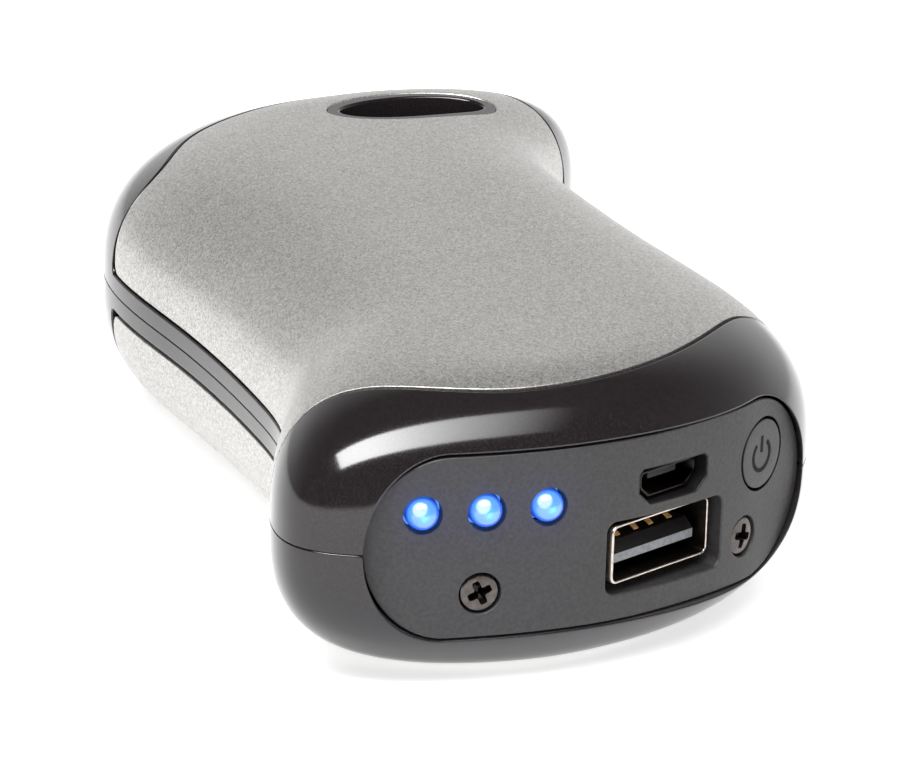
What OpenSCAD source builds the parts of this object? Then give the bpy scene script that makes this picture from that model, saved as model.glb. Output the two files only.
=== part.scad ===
// Rechargeable hand warmer, lying flat: two moulded housing halves, two metal heat panels,
// an end plate with charging lamps, sockets and power button, and the cells and board inside.
// X runs across the case, Y from the port end to the lanyard end, Z up from the resting face.

/* [Case] */
// Overall length, port end to lanyard end
case_length = 108; // [104:0.5:116]
// Thickness, resting face to upper face
case_thickness = 28.4; // [28:0.2:32]
// Reach of the port end to the left of the centre line
port_reach_left = 28.3; // [27:0.1:31]
// Reach of the port end to the right of the centre line
port_reach_right = 28; // [27:0.1:31]
// Reach of the left waist, where the thumb lies
waist_left = 22.5; // [22:0.1:25]
// Reach of the right waist, where the fingers lie
waist_right = 20.5; // [20:0.1:23]
// Reach of the left shoulder at the lanyard end
shoulder_left = 27; // [26:0.1:30]
// Reach of the right shoulder at the lanyard end
shoulder_right = 28; // [26:0.1:30]
// Width of the nearly flat middle of each face
flat_width = 10; // [6:0.5:14]
// Length of the nearly flat middle of each face
flat_length = 81; // [72:0.5:84]
// Fullness of the rounded sides: 2 is an ellipse, higher is squarer
side_fullness = 2.8; // [2.4:0.1:3.4]
// How far the upper face falls towards the lanyard end
lanyard_end_drop = 2.1; // [0:0.1:3]

/* [Walls and panels] */
// Wall of the two housing halves
housing_wall = 1.5; // [1.2:0.1:1.8]
// Thickness of the metal heat panels
panel_t = 0.8; // [0.6:0.1:1.2]
// Glue gap between a panel and its pocket
glue_gap = 0.1; // [0.05:0.05:0.2]
// Groove round the edge of a panel
panel_groove = 0.35; // [0.2:0.05:0.6]
// Height of the black band between the two panels
band_height = 3.6; // [3:0.1:6]

/* [Lanyard opening] */
// Length of the opening in the panels
lanyard_length = 18.4; // [17:0.2:20]
// Width of the opening in the panels
lanyard_width = 10.4; // [9:0.2:11]
// Width of the black ring inside the panels' edge
lanyard_ring = 1.4; // [1:0.1:1.8]
// Wall of the tube through the case
lanyard_wall = 1.3; // [1:0.1:1.6]
// Centre of the opening, right of the centre line
lanyard_x = 7; // [6:0.2:9]
// Centre of the opening, back from the lanyard end
lanyard_from_end = 16.1; // [15:0.1:16.2]
// Turn of the opening, in line with the rounded end
lanyard_turn = 9; // [0:1:12]

/* [End plate] */
// Thickness of the end plate
plate_t = 1.6; // [1.4:0.1:1.8]
// Height of the end plate
plate_height = 17.4; // [16.8:0.2:18]
// Left end of the plate, measured from the centre line
plate_reach_left = 21.7; // [21:0.1:22.5]
// Right end of the plate, measured from the centre line
plate_reach_right = 24; // [23.5:0.1:24.5]
// Depth of the plate's face below the cap
plate_inset = 1.5; // [1.2:0.1:1.8]
// Extra depth of the plate's face where it turns the right corner
plate_sweep = 0.8; // [0.6:0.1:0.9]
// Gap round the edge of the plate
plate_gap = 0.25; // [0.15:0.05:0.4]
// Width of the ledge that the plate's edge rests on
plate_ledge = 1.3; // [1:0.1:1.6]
// Thickness of that ledge
ledge_t = 0.9; // [0.8:0.1:1.1]

/* [Lamps, button and screws] */
// Diameter of a lamp's lens
lamp_d = 3.4; // [3:0.1:3.6]
// Distance between lamps
lamp_pitch = 5.95; // [5.4:0.05:6]
// Left lamp, from the centre line
lamp_first_x = -16.35; // [-17:0.05:-16]
// Height of the lamps above the mid plane
lamp_z = 3.3; // [3.2:0.1:3.5]
// Diameter of the power button
button_d = 6.6; // [6.2:0.1:6.8]
// Button's place along the plate
button_x = 19.2; // [19:0.1:19.3]
// Button's height above the mid plane
button_z = 3.1; // [3:0.1:3.3]
// How far the button travels
button_travel = 0.35; // [0.2:0.05:0.45]
// Head diameter of the two plate screws
plate_screw_head_d = 3.7; // [3.4:0.1:3.9]
// Shank diameter of the small screws
screw_d = 1.8; // [1.6:0.1:2]

/* [Sockets and board] */
// Thickness of the circuit board
board_t = 1.6; // [1.2:0.1:1.6]
// Height of the board's underside above the mid plane
board_z = 0.8; // [0.7:0.05:0.9]
// Width of the USB-A socket's shell
usb_a_w = 13.1;
// Height of the USB-A socket's shell
usb_a_h = 5.7;
// Length of the USB-A socket's shell
usb_a_l = 11; // [10:0.5:11.5]
// Width of the micro-USB socket's shell
micro_usb_w = 7.5;
// Height of the micro-USB socket's shell
micro_usb_h = 2.6;
// Length of the micro-USB socket's shell
micro_usb_l = 5.6; // [5:0.2:6]
// How far the USB-A socket's mouth sits behind the plate's face, at its middle
usb_a_setback = 1.05; // [0.9:0.05:1.2]
// The same for the micro-USB socket
micro_usb_setback = 0.9; // [0.6:0.1:1.1]

/* [Cells and heaters] */
// Diameter of a battery cell
cell_d = 18.4; // [18.2:0.1:18.5]
// Length of a battery cell
cell_l = 65.2; // [65:0.1:65.4]
// Distance between the two cells' centre lines
cell_pitch = 18.9; // [18.8:0.05:19]
// Width of a heater film
heater_w = 26; // [20:1:30]
// Length of a heater film
heater_l = 50; // [40:1:54]
// Thickness of a heater film
heater_t = 0.3; // [0.2:0.05:0.4]

/* [Hidden] */

$fn = 48;
BLACK = "#2f2b2c";
SILVER = "#a5a39e";
half_t = case_thickness / 2;
half_l = case_length / 2;
cut = 1;
wall_inset = panel_t + glue_gap + housing_wall;

// Outline of the case at its mid plane, once round from the left flank of the port end
plan_knots = [
    [-port_reach_left + 1.8, -half_l + 17],
    [-port_reach_left + 0.8, -half_l + 5],
    [-port_reach_left + 15.8, -half_l],
    [4, -half_l + 2],
    [port_reach_right - 9.5, -half_l + 9],
    [port_reach_right - 0.5, -half_l + 24.5],
    [waist_right + 4, -5],
    [waist_right, 19],
    [waist_right + 1.5, 36],
    [shoulder_right - 1, half_l - 3.5],
    [14.5, half_l],
    [0.5, half_l - 1.5],
    [-shoulder_left + 12, half_l - 6.5],
    [-shoulder_left + 0.5, 31],
    [-shoulder_left + 2, 7],
    [-waist_left, -15],
    [-waist_left - 0.5, -27.5]
];

// Edge of the metal panels seen from above: port end, outside right, lanyard end, outside left
panel_knots = [
    [-36, -half_l + 12.5],
    [-24, -half_l + 12.3],
    [-16, -half_l + 8.3],
    [-8, -half_l + 6],
    [1, -half_l + 7.5],
    [9, -half_l + 12],
    [17, -half_l + 20.7],
    [24, -half_l + 28.5],
    [36, -half_l + 33],
    [46, 10],
    [38, half_l - 15],
    [27, half_l - 13.5],
    [22, half_l - 11],
    [19, half_l - 8],
    [11, half_l - 7],
    [0, half_l - 8.5],
    [-10, half_l - 13],
    [-16.5, half_l - 18],
    [-19.5, half_l - 22.5],
    [-22.5, half_l - 27],
    [-27, half_l - 29.5],
    [-37, half_l - 31],
    [-45, -10]
];

// Smooth closed curves through a ring of knots

function nxt(P, i) = P[(i + 1) % len(P)];
function prv(P, i) = P[(i + len(P) - 1) % len(P)];
function step_on(P, i) = norm(nxt(P, i) - P[i]);
function step_back(P, i) = norm(P[i] - prv(P, i));

// Slopes at the knots of the spline with even curvature, found by relaxing
function knot_slopes(P, M, rounds) = rounds == 0 ? M : knot_slopes(P, [
    for (i = [0:len(P) - 1])
        let (a = step_back(P, i), b = step_on(P, i))
            (3 * ((nxt(P, i) - P[i]) * a / b + (P[i] - prv(P, i)) * b / a)
                - b * prv(M, i) - a * nxt(M, i)) / (2 * (a + b))
], rounds - 1);

function on_segment(p, m, q, n, h, u) =
    (2 * u * u * u - 3 * u * u + 1) * p + (u * u * u - 2 * u * u + u) * h * m
    + (3 * u * u - 2 * u * u * u) * q + (u * u * u - u * u) * h * n;

function smooth_loop(P, steps) = let (M = knot_slopes(P, [for (p = P) [0, 0]], 24)) [
    for (i = [0:len(P) - 1])
        for (k = [0:steps - 1])
            on_segment(P[i], M[i], nxt(P, i), nxt(M, i), step_on(P, i), k / steps)
];

function loop_normal(P, i) = let (d = nxt(P, i) - prv(P, i)) [d[1], -d[0]] / norm(d);
function inset_loop(P, d) = [for (i = [0:len(P) - 1]) P[i] - d * loop_normal(P, i)];

function column(P, k) = [for (p = P) p[k]];

skin_plan = smooth_loop(plan_knots, 4);
inner_plan = smooth_loop(plan_knots, 3);
panel_edge = smooth_loop(panel_knots, 4);

// Rounded half of the case: rings of the outline that shrink towards the face

skin_angles = [0, 12, 25, 38, 52, 66, 80, 90];
inner_angles = [0, 18, 36, 54, 72, 90];
crown_scale = 0.5;

function fullness(v) = pow(max(v, 0), 2 / side_fullness);
function drop_at(y) = lanyard_end_drop * pow(max(0, y - 5) / (half_l - 5), 2) / half_t;
function face_z(y, s, side) = side * half_t * s * (side > 0 ? 1 - drop_at(y) : 1);

function ring_point(p, angle, side) =
    let (
        c = fullness(cos(angle)),
        kx = flat_width / 2 / port_reach_right,
        ky = flat_length / 2 / half_l,
        x = p[0] * (kx + (1 - kx) * c),
        y = p[1] * (ky + (1 - ky) * c)
    ) [x, y, face_z(y, fullness(sin(angle)), side)];

function flip_z(p) = [p[0], p[1], -p[2]];

function grid_normal(G, j, i, side) = j == len(G) - 1 ? [0, 0, side] :
    let (
        along = nxt(G[j], i) - prv(G[j], i),
        up = G[j + 1][i] - (j == 0 ? flip_z(G[1][i]) : G[j - 1][i]),
        n = cross(along, up) * side
    ) n / norm(n);

// Rings of the surface that lies d inside the case
function rings_inside(loop, angles, d, side) =
    let (G = [for (a = angles) [for (p = loop) ring_point(p, a, side)]]) [
        for (j = [0:len(G) - 1])
            [for (i = [0:len(loop) - 1]) G[j][i] - d * grid_normal(G, j, i, side)]
    ];

// Solid under the rings from number `first` up, standing on a flat foot at height foot
module under_rings(rings, d, side, foot, first) {
    n = len(rings[0]);
    kept = [for (j = [first:len(rings) - 1]) rings[j]];
    crown = [for (p = rings[len(rings) - 1])
        [p[0] * crown_scale, p[1] * crown_scale, face_z(p[1] * crown_scale, 1, side) - side * d]];
    base = [for (p = kept[0]) [p[0], p[1], side * foot]];
    stack = concat(foot == 0 ? [] : [base], kept, [crown]);
    points = concat([for (r = stack) each r], [[0, 0, side * (half_t - d)]]);
    last = len(stack) - 1;
    tip = len(points) - 1;
    walls = [
        for (j = [0:last - 1])
            for (i = [0:n - 1])
                let (a = j * n + i, b = j * n + (i + 1) % n)
                    each [[a, a + n, b + n], [a, b + n, b]]
    ];
    top = [for (i = [0:n - 1]) [last * n + i, tip, last * n + (i + 1) % n]];
    faces = concat([[for (i = [0:n - 1]) i]], walls, top);
    polyhedron(points, side > 0 ? faces : [for (f = faces) [for (k = [len(f) - 1:-1:0]) f[k]]]);
}

// One half of the case's outside; side is 1 above the mid plane and -1 below it
module case_skin(side) {
    under_rings(rings_inside(skin_plan, skin_angles, 0, side), 0, side, 0, 0);
}

// The space that lies d inside one half of the case, carried past the mid plane for clean cuts
module case_inside(d, side, foot = -cut, first = 0) {
    under_rings(rings_inside(inner_plan, inner_angles, d, side), d, side, foot, first);
}

// Plan curve that lies d inside the case at the plate, and a little more round its right corner

sweep_end = 31;
function sweep_at(x) = plate_sweep * pow(sin(180 * max(0, min(x, sweep_end)) / sweep_end), 2);
function plate_curve(d) = [
    for (i = [0:len(skin_plan) - 1])
        skin_plan[i] - (d + sweep_at(skin_plan[i][0])) * loop_normal(skin_plan, i)
];

// The face of the end plate, followed from left to right
plate_loop = plate_curve(plate_inset);
plate_line = [
    for (i = [0:len(plate_loop) - 1])
        if (loop_normal(plate_loop, i)[1] < -0.3 && plate_loop[i][1] < -half_l + 40) plate_loop[i]
];
function plate_y(x) = lookup(x, plate_line);
function plate_angle(x) = atan2(plate_y(x + 2.5) - plate_y(x - 2.5), 5);

// Puts its children on the plate's face, with their Y axis pointing into the case
module on_plate(x, z, turn = 0) {
    translate([x, plate_y(x), z]) rotate([0, 0, plate_angle(x) + turn]) children();
}

// Rounded outline of the plate seen from the port end, grown by g all round
module plate_outline(g) {
    r = plate_height / 2 + g;
    left_end = 7.8 + g;
    right_end = 6.6 + g;
    left = -plate_reach_left - g + left_end;
    right = plate_reach_right + g - right_end;
    polygon(concat(
        [for (a = [-90:10:90]) [right + right_end * cos(a), r * sin(a)]],
        [for (a = [90:10:270]) [left + left_end * cos(a), r * sin(a)]]
    ));
}

plate_back_y = -half_l + 20;

module plate_prism(g) {
    translate([0, plate_back_y, 0]) rotate([90, 0, 0]) linear_extrude(30) plate_outline(g);
}

module plan_prism(d, h) linear_extrude(h, center = true) polygon(plate_curve(d));

// Places shared by the pieces on the plate and the board

usb_a_x = 7.85;
usb_a_standoff = 0.3;
board_top = board_z + board_t;
usb_a_z = board_z - usb_a_standoff - usb_a_h / 2;
micro_usb_x = 8.6;
micro_usb_z = board_top + micro_usb_h / 2;
usb_a_turn = 5.6;
micro_usb_turn = 4.8;
left_screw = [-10.8, -4.5];
right_screw = [17.2, -4.3];
plate_screw_depth = 5;
lamp_back = 3.9;
lamp_proud = 0.9;
function lamp_x(i) = lamp_first_x + i * lamp_pitch;

// Stands the part on its resting face, with the middle of its box over the origin
lowest_y = min([for (i = [0:2]) plate_y(lamp_x(i))]) - lamp_proud;
part_middle = [
    (max(column(skin_plan, 0)) + min(column(skin_plan, 0))) / 2,
    (max(column(skin_plan, 1)) + lowest_y) / 2
];

module on_rest() translate([-part_middle[0], -part_middle[1], half_t]) children();

boss_r = 2;
housing_screw_places = [
    [-shoulder_left + 5.2, 20],
    [port_reach_right - 7.2, -21],
    [-7.5, 36.8]
];
board_screw_places = [[-18, -42], [-3.8, -38.7]];
pilot_d = screw_d + 0.1;
passage_d = screw_d + 0.4;
post_r = 2.1;

module lanyard_shape(g) {
    a = lanyard_length / 2 + g;
    b = lanyard_width / 2 + g;
    translate([lanyard_x, half_l - lanyard_from_end]) rotate(lanyard_turn)
        polygon([for (t = [0:10:350]) [a * cos(t), b * sin(t)]]);
}

module lanyard_prism(g, h) linear_extrude(h, center = true) lanyard_shape(g);

// Zone of a metal panel: everything outside the case's middle part on that side
module panel_zone(side, g, foot) {
    scale([1, 1, side]) translate([0, 0, foot]) linear_extrude(half_t)
        polygon(inset_loop(panel_edge, g));
}

module panel_pocket(side) {
    difference() {
        panel_zone(side, 0, band_height / 2);
        case_inside(panel_t + glue_gap, side);
    }
}

module heater_prism(g) {
    linear_extrude(2 * half_t, center = true)
        square([heater_w + 2 * g, heater_l + 2 * g], center = true);
}

// Ledge ring behind the plate, joined to the wall round it
module plate_frame() {
    difference() {
        plate_prism(plate_gap + housing_wall);
        plan_prism(plate_inset + plate_t + ledge_t, 2 * half_t);
    }
}

module plate_window() {
    difference() {
        plate_prism(-plate_ledge);
        plan_prism(plate_inset + plate_t + ledge_t + cut, 2 * half_t);
    }
    on_plate(button_x, button_z) rotate([-90, 0, 0])
        cylinder(d = button_d + 2 * button_rim + 0.6, h = plate_t + ledge_t + cut);
}

// Recess that the plate drops into
module plate_recess() {
    difference() {
        plate_prism(plate_gap);
        plan_prism(plate_inset + plate_t, 2 * half_t);
    }
}

module housing_bosses() {
    for (p = housing_screw_places) translate([p[0], p[1], -half_t]) cylinder(r = boss_r, h = 2 * half_t);
}

module plate_boss(place) {
    on_plate(place[0], place[1]) {
        translate([-boss_r, plate_t, -half_t]) cube([2 * boss_r, plate_screw_depth, half_t]);
        translate([0, plate_t, 0]) rotate([-90, 0, 0]) cylinder(r = boss_r, h = plate_screw_depth);
    }
}

// What stays standing inside a half: lanyard tube, screw bosses, ledge, posts for the board
module kept_inside(side) {
    lanyard_prism(lanyard_wall - lanyard_ring, 2 * half_t + cut);
    housing_bosses();
    difference() {
        plate_frame();
        plate_window();
    }
    if (side < 0) {
        plate_boss(left_screw);
        plate_boss(right_screw);
        for (p = board_screw_places) translate([p[0], p[1], -half_t]) cylinder(r = post_r, h = half_t);
    }
}

module housing_shell(side) {
    difference() {
        case_skin(side);
        panel_pocket(side);
        difference() {
            union() {
                case_inside(wall_inset, side);
                plate_window();
            }
            kept_inside(side);
        }
        plate_recess();
        lanyard_prism(-lanyard_ring, 2 * half_t + cut);
        heater_prism(0.5);
    }
}

// Tongue along the seam, standing on the lower half, and the rebate that takes it
lip_inset = 1;
lip_t = 0.8;
lip_h = 0.8;

module seam_ring(outer, inner, h) {
    difference() {
        linear_extrude(h) difference() {
            polygon(inset_loop(skin_plan, outer));
            polygon(inset_loop(skin_plan, inner));
        }
        plate_prism(plate_gap);
    }
}

module front_housing() on_rest() color(BLACK) {
    difference() {
        housing_shell(1);
        translate([0, 0, -cut]) seam_ring(lip_inset - 0.05, wall_inset + cut, lip_h + 0.1 + cut);
        for (p = housing_screw_places) translate([p[0], p[1], -cut])
            cylinder(d = pilot_d, h = cut + housing_screw_bite + 0.5);
    }
}

// Height of the step that a housing screw's head pulls against, above the resting face
screw_seat = 7;
screw_head_h = 1.2;
housing_screw_bite = 6;

module back_housing() on_rest() color(BLACK) {
    difference() {
        housing_shell(-1);
        for (p = housing_screw_places) translate([p[0], p[1], -half_t - cut]) {
            cylinder(d = passage_d, h = half_t + 2 * cut);
            cylinder(d = 3.5, h = screw_seat + cut);
        }
        for (s = [left_screw, right_screw]) on_plate(s[0], s[1]) rotate([-90, 0, 0])
            cylinder(d = pilot_d, h = plate_t + plate_screw_depth + cut);
        for (p = board_screw_places) translate([p[0], p[1], -5]) cylinder(d = pilot_d, h = 5 + cut);
    }
    seam_ring(lip_inset, lip_inset + lip_t, lip_h);
    for (p = board_screw_places) translate([p[0], p[1], 0]) difference() {
        cylinder(r = post_r, h = board_z);
        translate([0, 0, -cut]) cylinder(d = pilot_d, h = board_z + 2 * cut);
    }
}

module heat_panel(side) {
    difference() {
        intersection() {
            case_skin(side);
            panel_zone(side, panel_groove, band_height / 2 + panel_groove);
        }
        case_inside(panel_t, side);
        lanyard_prism(0, 2 * half_t + cut);
    }
}

module front_panel() on_rest() color(SILVER) heat_panel(1);
module back_panel() on_rest() color(SILVER) heat_panel(-1);

// Rectangle with round corners, built from true circles
module rounded(w, h, r) {
    square([w - 2 * r, h], center = true);
    square([w, h - 2 * r], center = true);
    for (x = [-1, 1]) for (y = [-1, 1]) translate([x * (w / 2 - r), y * (h / 2 - r)]) circle(r);
}

usb_opening_side_gap = 0.5;
usb_opening_gap = 0.7;
usb_opening_drop = 0.35;

module end_plate() on_rest() color("#464445") {
    difference() {
        intersection() {
            plate_prism(0);
            difference() {
                plan_prism(plate_inset, 2 * half_t);
                plan_prism(plate_inset + plate_t, 3 * half_t);
            }
        }
        for (i = [0:2]) on_plate(lamp_x(i), lamp_z) rotate([-90, 0, 0])
            cylinder(d = lamp_d + 0.4, h = 12, center = true);
        on_plate(button_x, button_z) rotate([-90, 0, 0])
            cylinder(d = button_d + 0.4, h = 12, center = true);
        for (s = [left_screw, right_screw]) on_plate(s[0], s[1]) rotate([-90, 0, 0]) {
            cylinder(d = passage_d, h = 12, center = true);
            translate([0, 0, -4]) cylinder(d = plate_screw_head_d + 0.3, h = 5);
        }
        on_plate(usb_a_x, usb_a_z - usb_opening_drop, usb_a_turn) rotate([-90, 0, 0])
            translate([0, 0, -4]) linear_extrude(12)
                rounded(usb_a_w + 2 * usb_opening_side_gap, usb_a_h + 2 * usb_opening_gap, 1);
        on_plate(micro_usb_x, micro_usb_z, micro_usb_turn) rotate([-90, 0, 0])
            translate([0, 0, -4]) linear_extrude(12) micro_usb_mouth(0.4);
    }
}

// Mouth of the micro-USB socket, with its two slanted lower corners; drawn with Y downwards
module micro_usb_mouth(g) {
    w = micro_usb_w / 2 + g;
    h = micro_usb_h / 2 + g;
    polygon([[-w, -h], [w, -h], [w, h - 1], [w - 1.1, h], [-w + 1.1, h], [-w, h - 1]]);
}

// Screw along +Z from its head at the origin, with a cross recess
module screw(head_d, head_h, length) {
    difference() {
        union() {
            cylinder(d = head_d, h = head_h);
            cylinder(d = screw_d, h = length);
        }
        for (t = [0, 90]) rotate(t) translate([-0.25, -head_d * 0.32, -cut])
            cube([0.5, head_d * 0.64, cut + 0.6]);
    }
}

module plate_screws() on_rest() color("#5a5856") {
    for (s = [left_screw, right_screw]) on_plate(s[0], s[1]) rotate([-90, 0, 0])
        translate([0, 0, 0.15]) screw(plate_screw_head_d, 0.85, plate_t + plate_screw_depth - 0.6);
}

// Round lamp with a domed tip that stands proud of the plate and a flange at its back
module lamp(i) {
    r = lamp_d / 2;
    dome_foot = 0.6;
    on_plate(lamp_x(i), lamp_z) rotate([-90, 0, 0]) rotate_extrude() polygon(concat(
        [[0, lamp_back], [r + 0.35, lamp_back], [r + 0.35, lamp_back - 1], [r, lamp_back - 1]],
        [for (a = [0:10:90]) [r * cos(a), dome_foot - (lamp_proud + dome_foot) * sin(a)]]
    ));
}

module led_left() on_rest() color("#3f7dff") lamp(0);
module led_middle() on_rest() color("#3f7dff") lamp(1);
module led_right() on_rest() color("#3f7dff") lamp(2);

// Legs that run back from each lamp and turn down onto the board
module led_leads() on_rest() color("silver") {
    for (i = [0:2]) on_plate(lamp_x(i), lamp_z) for (x = [-1.27, 1.27]) {
        translate([x - 0.25, lamp_back, -0.25]) cube([0.5, 2.6, 0.5]);
        translate([x - 0.25, lamp_back + 2.1, board_top - lamp_z])
            cube([0.5, 0.5, lamp_z - board_top]);
    }
}

// Button cap with a flange behind the plate and a stem that reaches the switch

button_flange = plate_t + 0.55;
button_flange_t = 0.6;
button_rim = 0.6;
button_stem_end = 3.4;

module power_button() on_rest() color("#3b393a") {
    on_plate(button_x, button_z) rotate([-90, 0, 0]) {
        translate([0, 0, -0.1]) cylinder(d = button_d, h = button_flange + 0.2);
        translate([0, 0, button_flange]) cylinder(d = button_d + 2 * button_rim, h = button_flange_t);
        translate([0, 0, button_flange]) cylinder(d = 2.4, h = button_stem_end - button_flange);
    }
}

// Switch sunk in a notch at the board's corner, with a tab that rests on the board
switch_front = 4.1;
switch_w = 4.4;
switch_d = 2.4;
switch_h = 3.4;

module switch_plunger() on_rest() color("ivory") {
    on_plate(button_x, button_z) rotate([-90, 0, 0])
        translate([0, 0, button_stem_end]) cylinder(d = 1.6, h = switch_front + 1 - button_stem_end);
}

module switch_body() on_rest() color("#303030") {
    on_plate(button_x, button_z) difference() {
        union() {
            translate([-switch_w / 2, switch_front, -switch_h / 2]) cube([switch_w, switch_d, switch_h]);
            translate([-switch_w / 2 - 0.8, switch_front + 0.5, board_top - button_z])
                cube([1, switch_d - 1, 0.3]);
        }
        rotate([-90, 0, 0]) translate([0, 0, switch_front - cut])
            cylinder(d = 1.6 + 0.1, h = cut + 1.2 + button_travel);
    }
}

module switch_notch() {
    on_plate(button_x, 0) translate([-switch_w / 2 - 0.15, switch_front - 0.15, 0])
        cube([switch_w + 0.3, switch_d + 5, 2 * half_t]);
}

module usb_a_shell() on_rest() color("#c9c6c0") {
    t = 0.35;
    on_plate(usb_a_x, usb_a_z, usb_a_turn) translate([0, usb_a_setback, 0]) {
        rotate([-90, 0, 0]) difference() {
            linear_extrude(usb_a_l) rounded(usb_a_w, usb_a_h, 0.6);
            translate([0, 0, -cut]) linear_extrude(usb_a_l + cut - t)
                rounded(usb_a_w - 2 * t, usb_a_h - 2 * t, 0.3);
        }
        for (x = [-4.5, 4.5]) translate([x - 0.75, usb_a_l / 2, usb_a_h / 2])
            cube([1.5, 2.4, usb_a_standoff]);
    }
}

// The tongue stands out from a back wall that fills the shell, a little below its middle
usb_tongue_w = 11;
usb_tongue_t = 1.8;
usb_tongue_z = -0.35;

module usb_a_tongue() on_rest() color("#8d8d90") {
    on_plate(usb_a_x, usb_a_z, usb_a_turn) translate([0, usb_a_setback, 0]) {
        translate([0, usb_a_l - 2.4, 0]) rotate([-90, 0, 0]) linear_extrude(2)
            rounded(usb_a_w - 0.74, usb_a_h - 0.74, 0.35);
        translate([-usb_tongue_w / 2, 1, usb_tongue_z - usb_tongue_t / 2])
            cube([usb_tongue_w, usb_a_l - 3, usb_tongue_t]);
    }
}

module usb_a_contacts() on_rest() color("gold") {
    on_plate(usb_a_x, usb_a_z, usb_a_turn)
        for (x = [-3.5, -1, 1, 3.5])
            translate([x - 0.5, usb_a_setback + 1.6, usb_tongue_z + usb_tongue_t / 2])
                cube([1, usb_a_l - 4.2, 0.25]);
}

module micro_usb_shell() on_rest() color("#c9c6c0") {
    on_plate(micro_usb_x, micro_usb_z, micro_usb_turn) rotate([-90, 0, 0])
        translate([0, 0, micro_usb_setback]) difference() {
            linear_extrude(micro_usb_l) micro_usb_mouth(0);
            translate([0, 0, -cut]) linear_extrude(micro_usb_l + cut - 0.3) micro_usb_mouth(-0.3);
        }
}

module micro_usb_tongue() on_rest() color("#202020") {
    on_plate(micro_usb_x, micro_usb_z, micro_usb_turn) translate([0, micro_usb_setback, 0]) {
        translate([-1.9, 0.8, 0.1]) cube([3.8, micro_usb_l - 2, 0.6]);
        translate([-2.4, micro_usb_l - 1.3, -0.9]) cube([4.8, 1, 1.9]);
    }
}

module micro_usb_contacts() on_rest() color("gold") {
    on_plate(micro_usb_x, micro_usb_z, micro_usb_turn)
        for (i = [-2:2])
            translate([i * 0.65 - 0.15, micro_usb_setback + 1.1, 0.1 - 0.15])
                cube([0.3, micro_usb_l - 2.6, 0.15]);
}

// Board cut to follow the plate, behind the lamps and in front of the cells

board_edge = plate_inset + 4.1;
cells_front_gap = 17.7;

module circuit_board() on_rest() color("darkgreen") {
    translate([0, 0, board_z]) difference() {
        linear_extrude(board_t) intersection() {
            polygon(plate_curve(board_edge));
            translate([-port_reach_left, -half_l]) square([port_reach_left + 16, cells_front_gap]);
        }
        translate([0, 0, -half_t]) switch_notch();
        for (p = board_screw_places) translate([p[0], p[1], -cut])
            cylinder(d = passage_d, h = board_t + 2 * cut);
    }
}

module on_board(x, y) translate([x, -half_l + y, board_top]) children();

module board_chips() on_rest() color("#222222") {
    on_board(-8.6, 13.6) translate([-2, -2, 0]) cube([4, 4, 1]);
    on_board(-14.9, 15.2) translate([-0.9, -0.6, 0]) cube([1.8, 1.2, 0.9]);
    on_board(-3.2, 11.2) translate([-1.5, -1.2, 0]) cube([3, 2.4, 1.1]);
    on_board(2.4, 14) translate([-2, -1.2, 0]) cube([4, 2.4, 1.4]);
}

module boost_coil() on_rest() color("#3a3a3a") {
    on_board(-13.2, 11.4) cylinder(r = 2.5, h = 2.6);
}

module board_screws() on_rest() color("silver") {
    for (p = board_screw_places) translate([p[0], p[1], board_top + 1.1]) rotate([180, 0, 0])
        screw(3.6, 1.1, 5.5);
}

module housing_screws() on_rest() color("silver") {
    for (p = housing_screw_places) translate([p[0], p[1], -half_t + screw_seat - screw_head_h])
        screw(3.2, screw_head_h, half_t - screw_seat + screw_head_h + housing_screw_bite);
}

// Cells side by side, with their front ends just behind the board

cells_x = (waist_right - waist_left) / 2 - 0.1;
cells_front = -half_l + cells_front_gap + 1.9;
function cell_x(i) = cells_x + (i - 0.5) * cell_pitch;

module cell(i) {
    translate([cell_x(i), cells_front, 0]) rotate([-90, 0, 0]) {
        cylinder(d = cell_d, h = cell_l - 1);
        cylinder(d = 6, h = cell_l);
    }
}

module cell_left() on_rest() color("#2d6a4f") cell(0);
module cell_right() on_rest() color("#2d6a4f") cell(1);

// Tray under the cells: floor, cross ribs with round seats, and a low wall at each end
module cell_cradle() on_rest() color("ivory") {
    rib = 1.4;
    ribs = 5;
    rib_pitch = (cell_l - 13.6) / (ribs - 1);
    wide = cell_pitch + cell_d;
    floor_w = 24;
    floor_z = -cell_d / 2 - 1.7;
    wall_gap = 0.3;
    difference() {
        intersection() {
            case_inside(wall_inset + 0.15, -1);
            union() {
                translate([cells_x - floor_w / 2, cells_front - wall_gap, floor_z])
                    cube([floor_w, cell_l + 2 * wall_gap, 1.3]);
                for (k = [0:ribs - 1])
                    translate([cells_x - wide / 2, cells_front + 6 + k * rib_pitch, -half_t])
                        cube([wide, rib, half_t - 4]);
                for (y = [cells_front - wall_gap - rib, cells_front + cell_l + wall_gap])
                    translate([cells_x - floor_w / 2, y, -half_t]) cube([floor_w, rib, half_t - 5.5]);
            }
        }
        for (i = [0:1]) translate([cell_x(i), cells_front - wall_gap, 0]) rotate([-90, 0, 0])
            cylinder(d = cell_d + 0.2, h = cell_l + 2 * wall_gap);
        translate([back_lead_x[0] - 1, cells_front - 5, -half_t])
            cube([back_lead_x[1] - back_lead_x[0] + 2, 15, half_t + floor_z + 0.4]);
    }
}

strip_t = 0.2;

module cell_strips() on_rest() color("#b9b9b9") {
    for (y = [cells_front - strip_t, cells_front + cell_l])
        translate([cell_x(0) - 3, y, -3]) cube([cell_pitch + 6, strip_t, 6]);
}

// Film glued under a panel, following its inner surface
film_gap = 0.05;
film_ring = 3;

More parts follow.
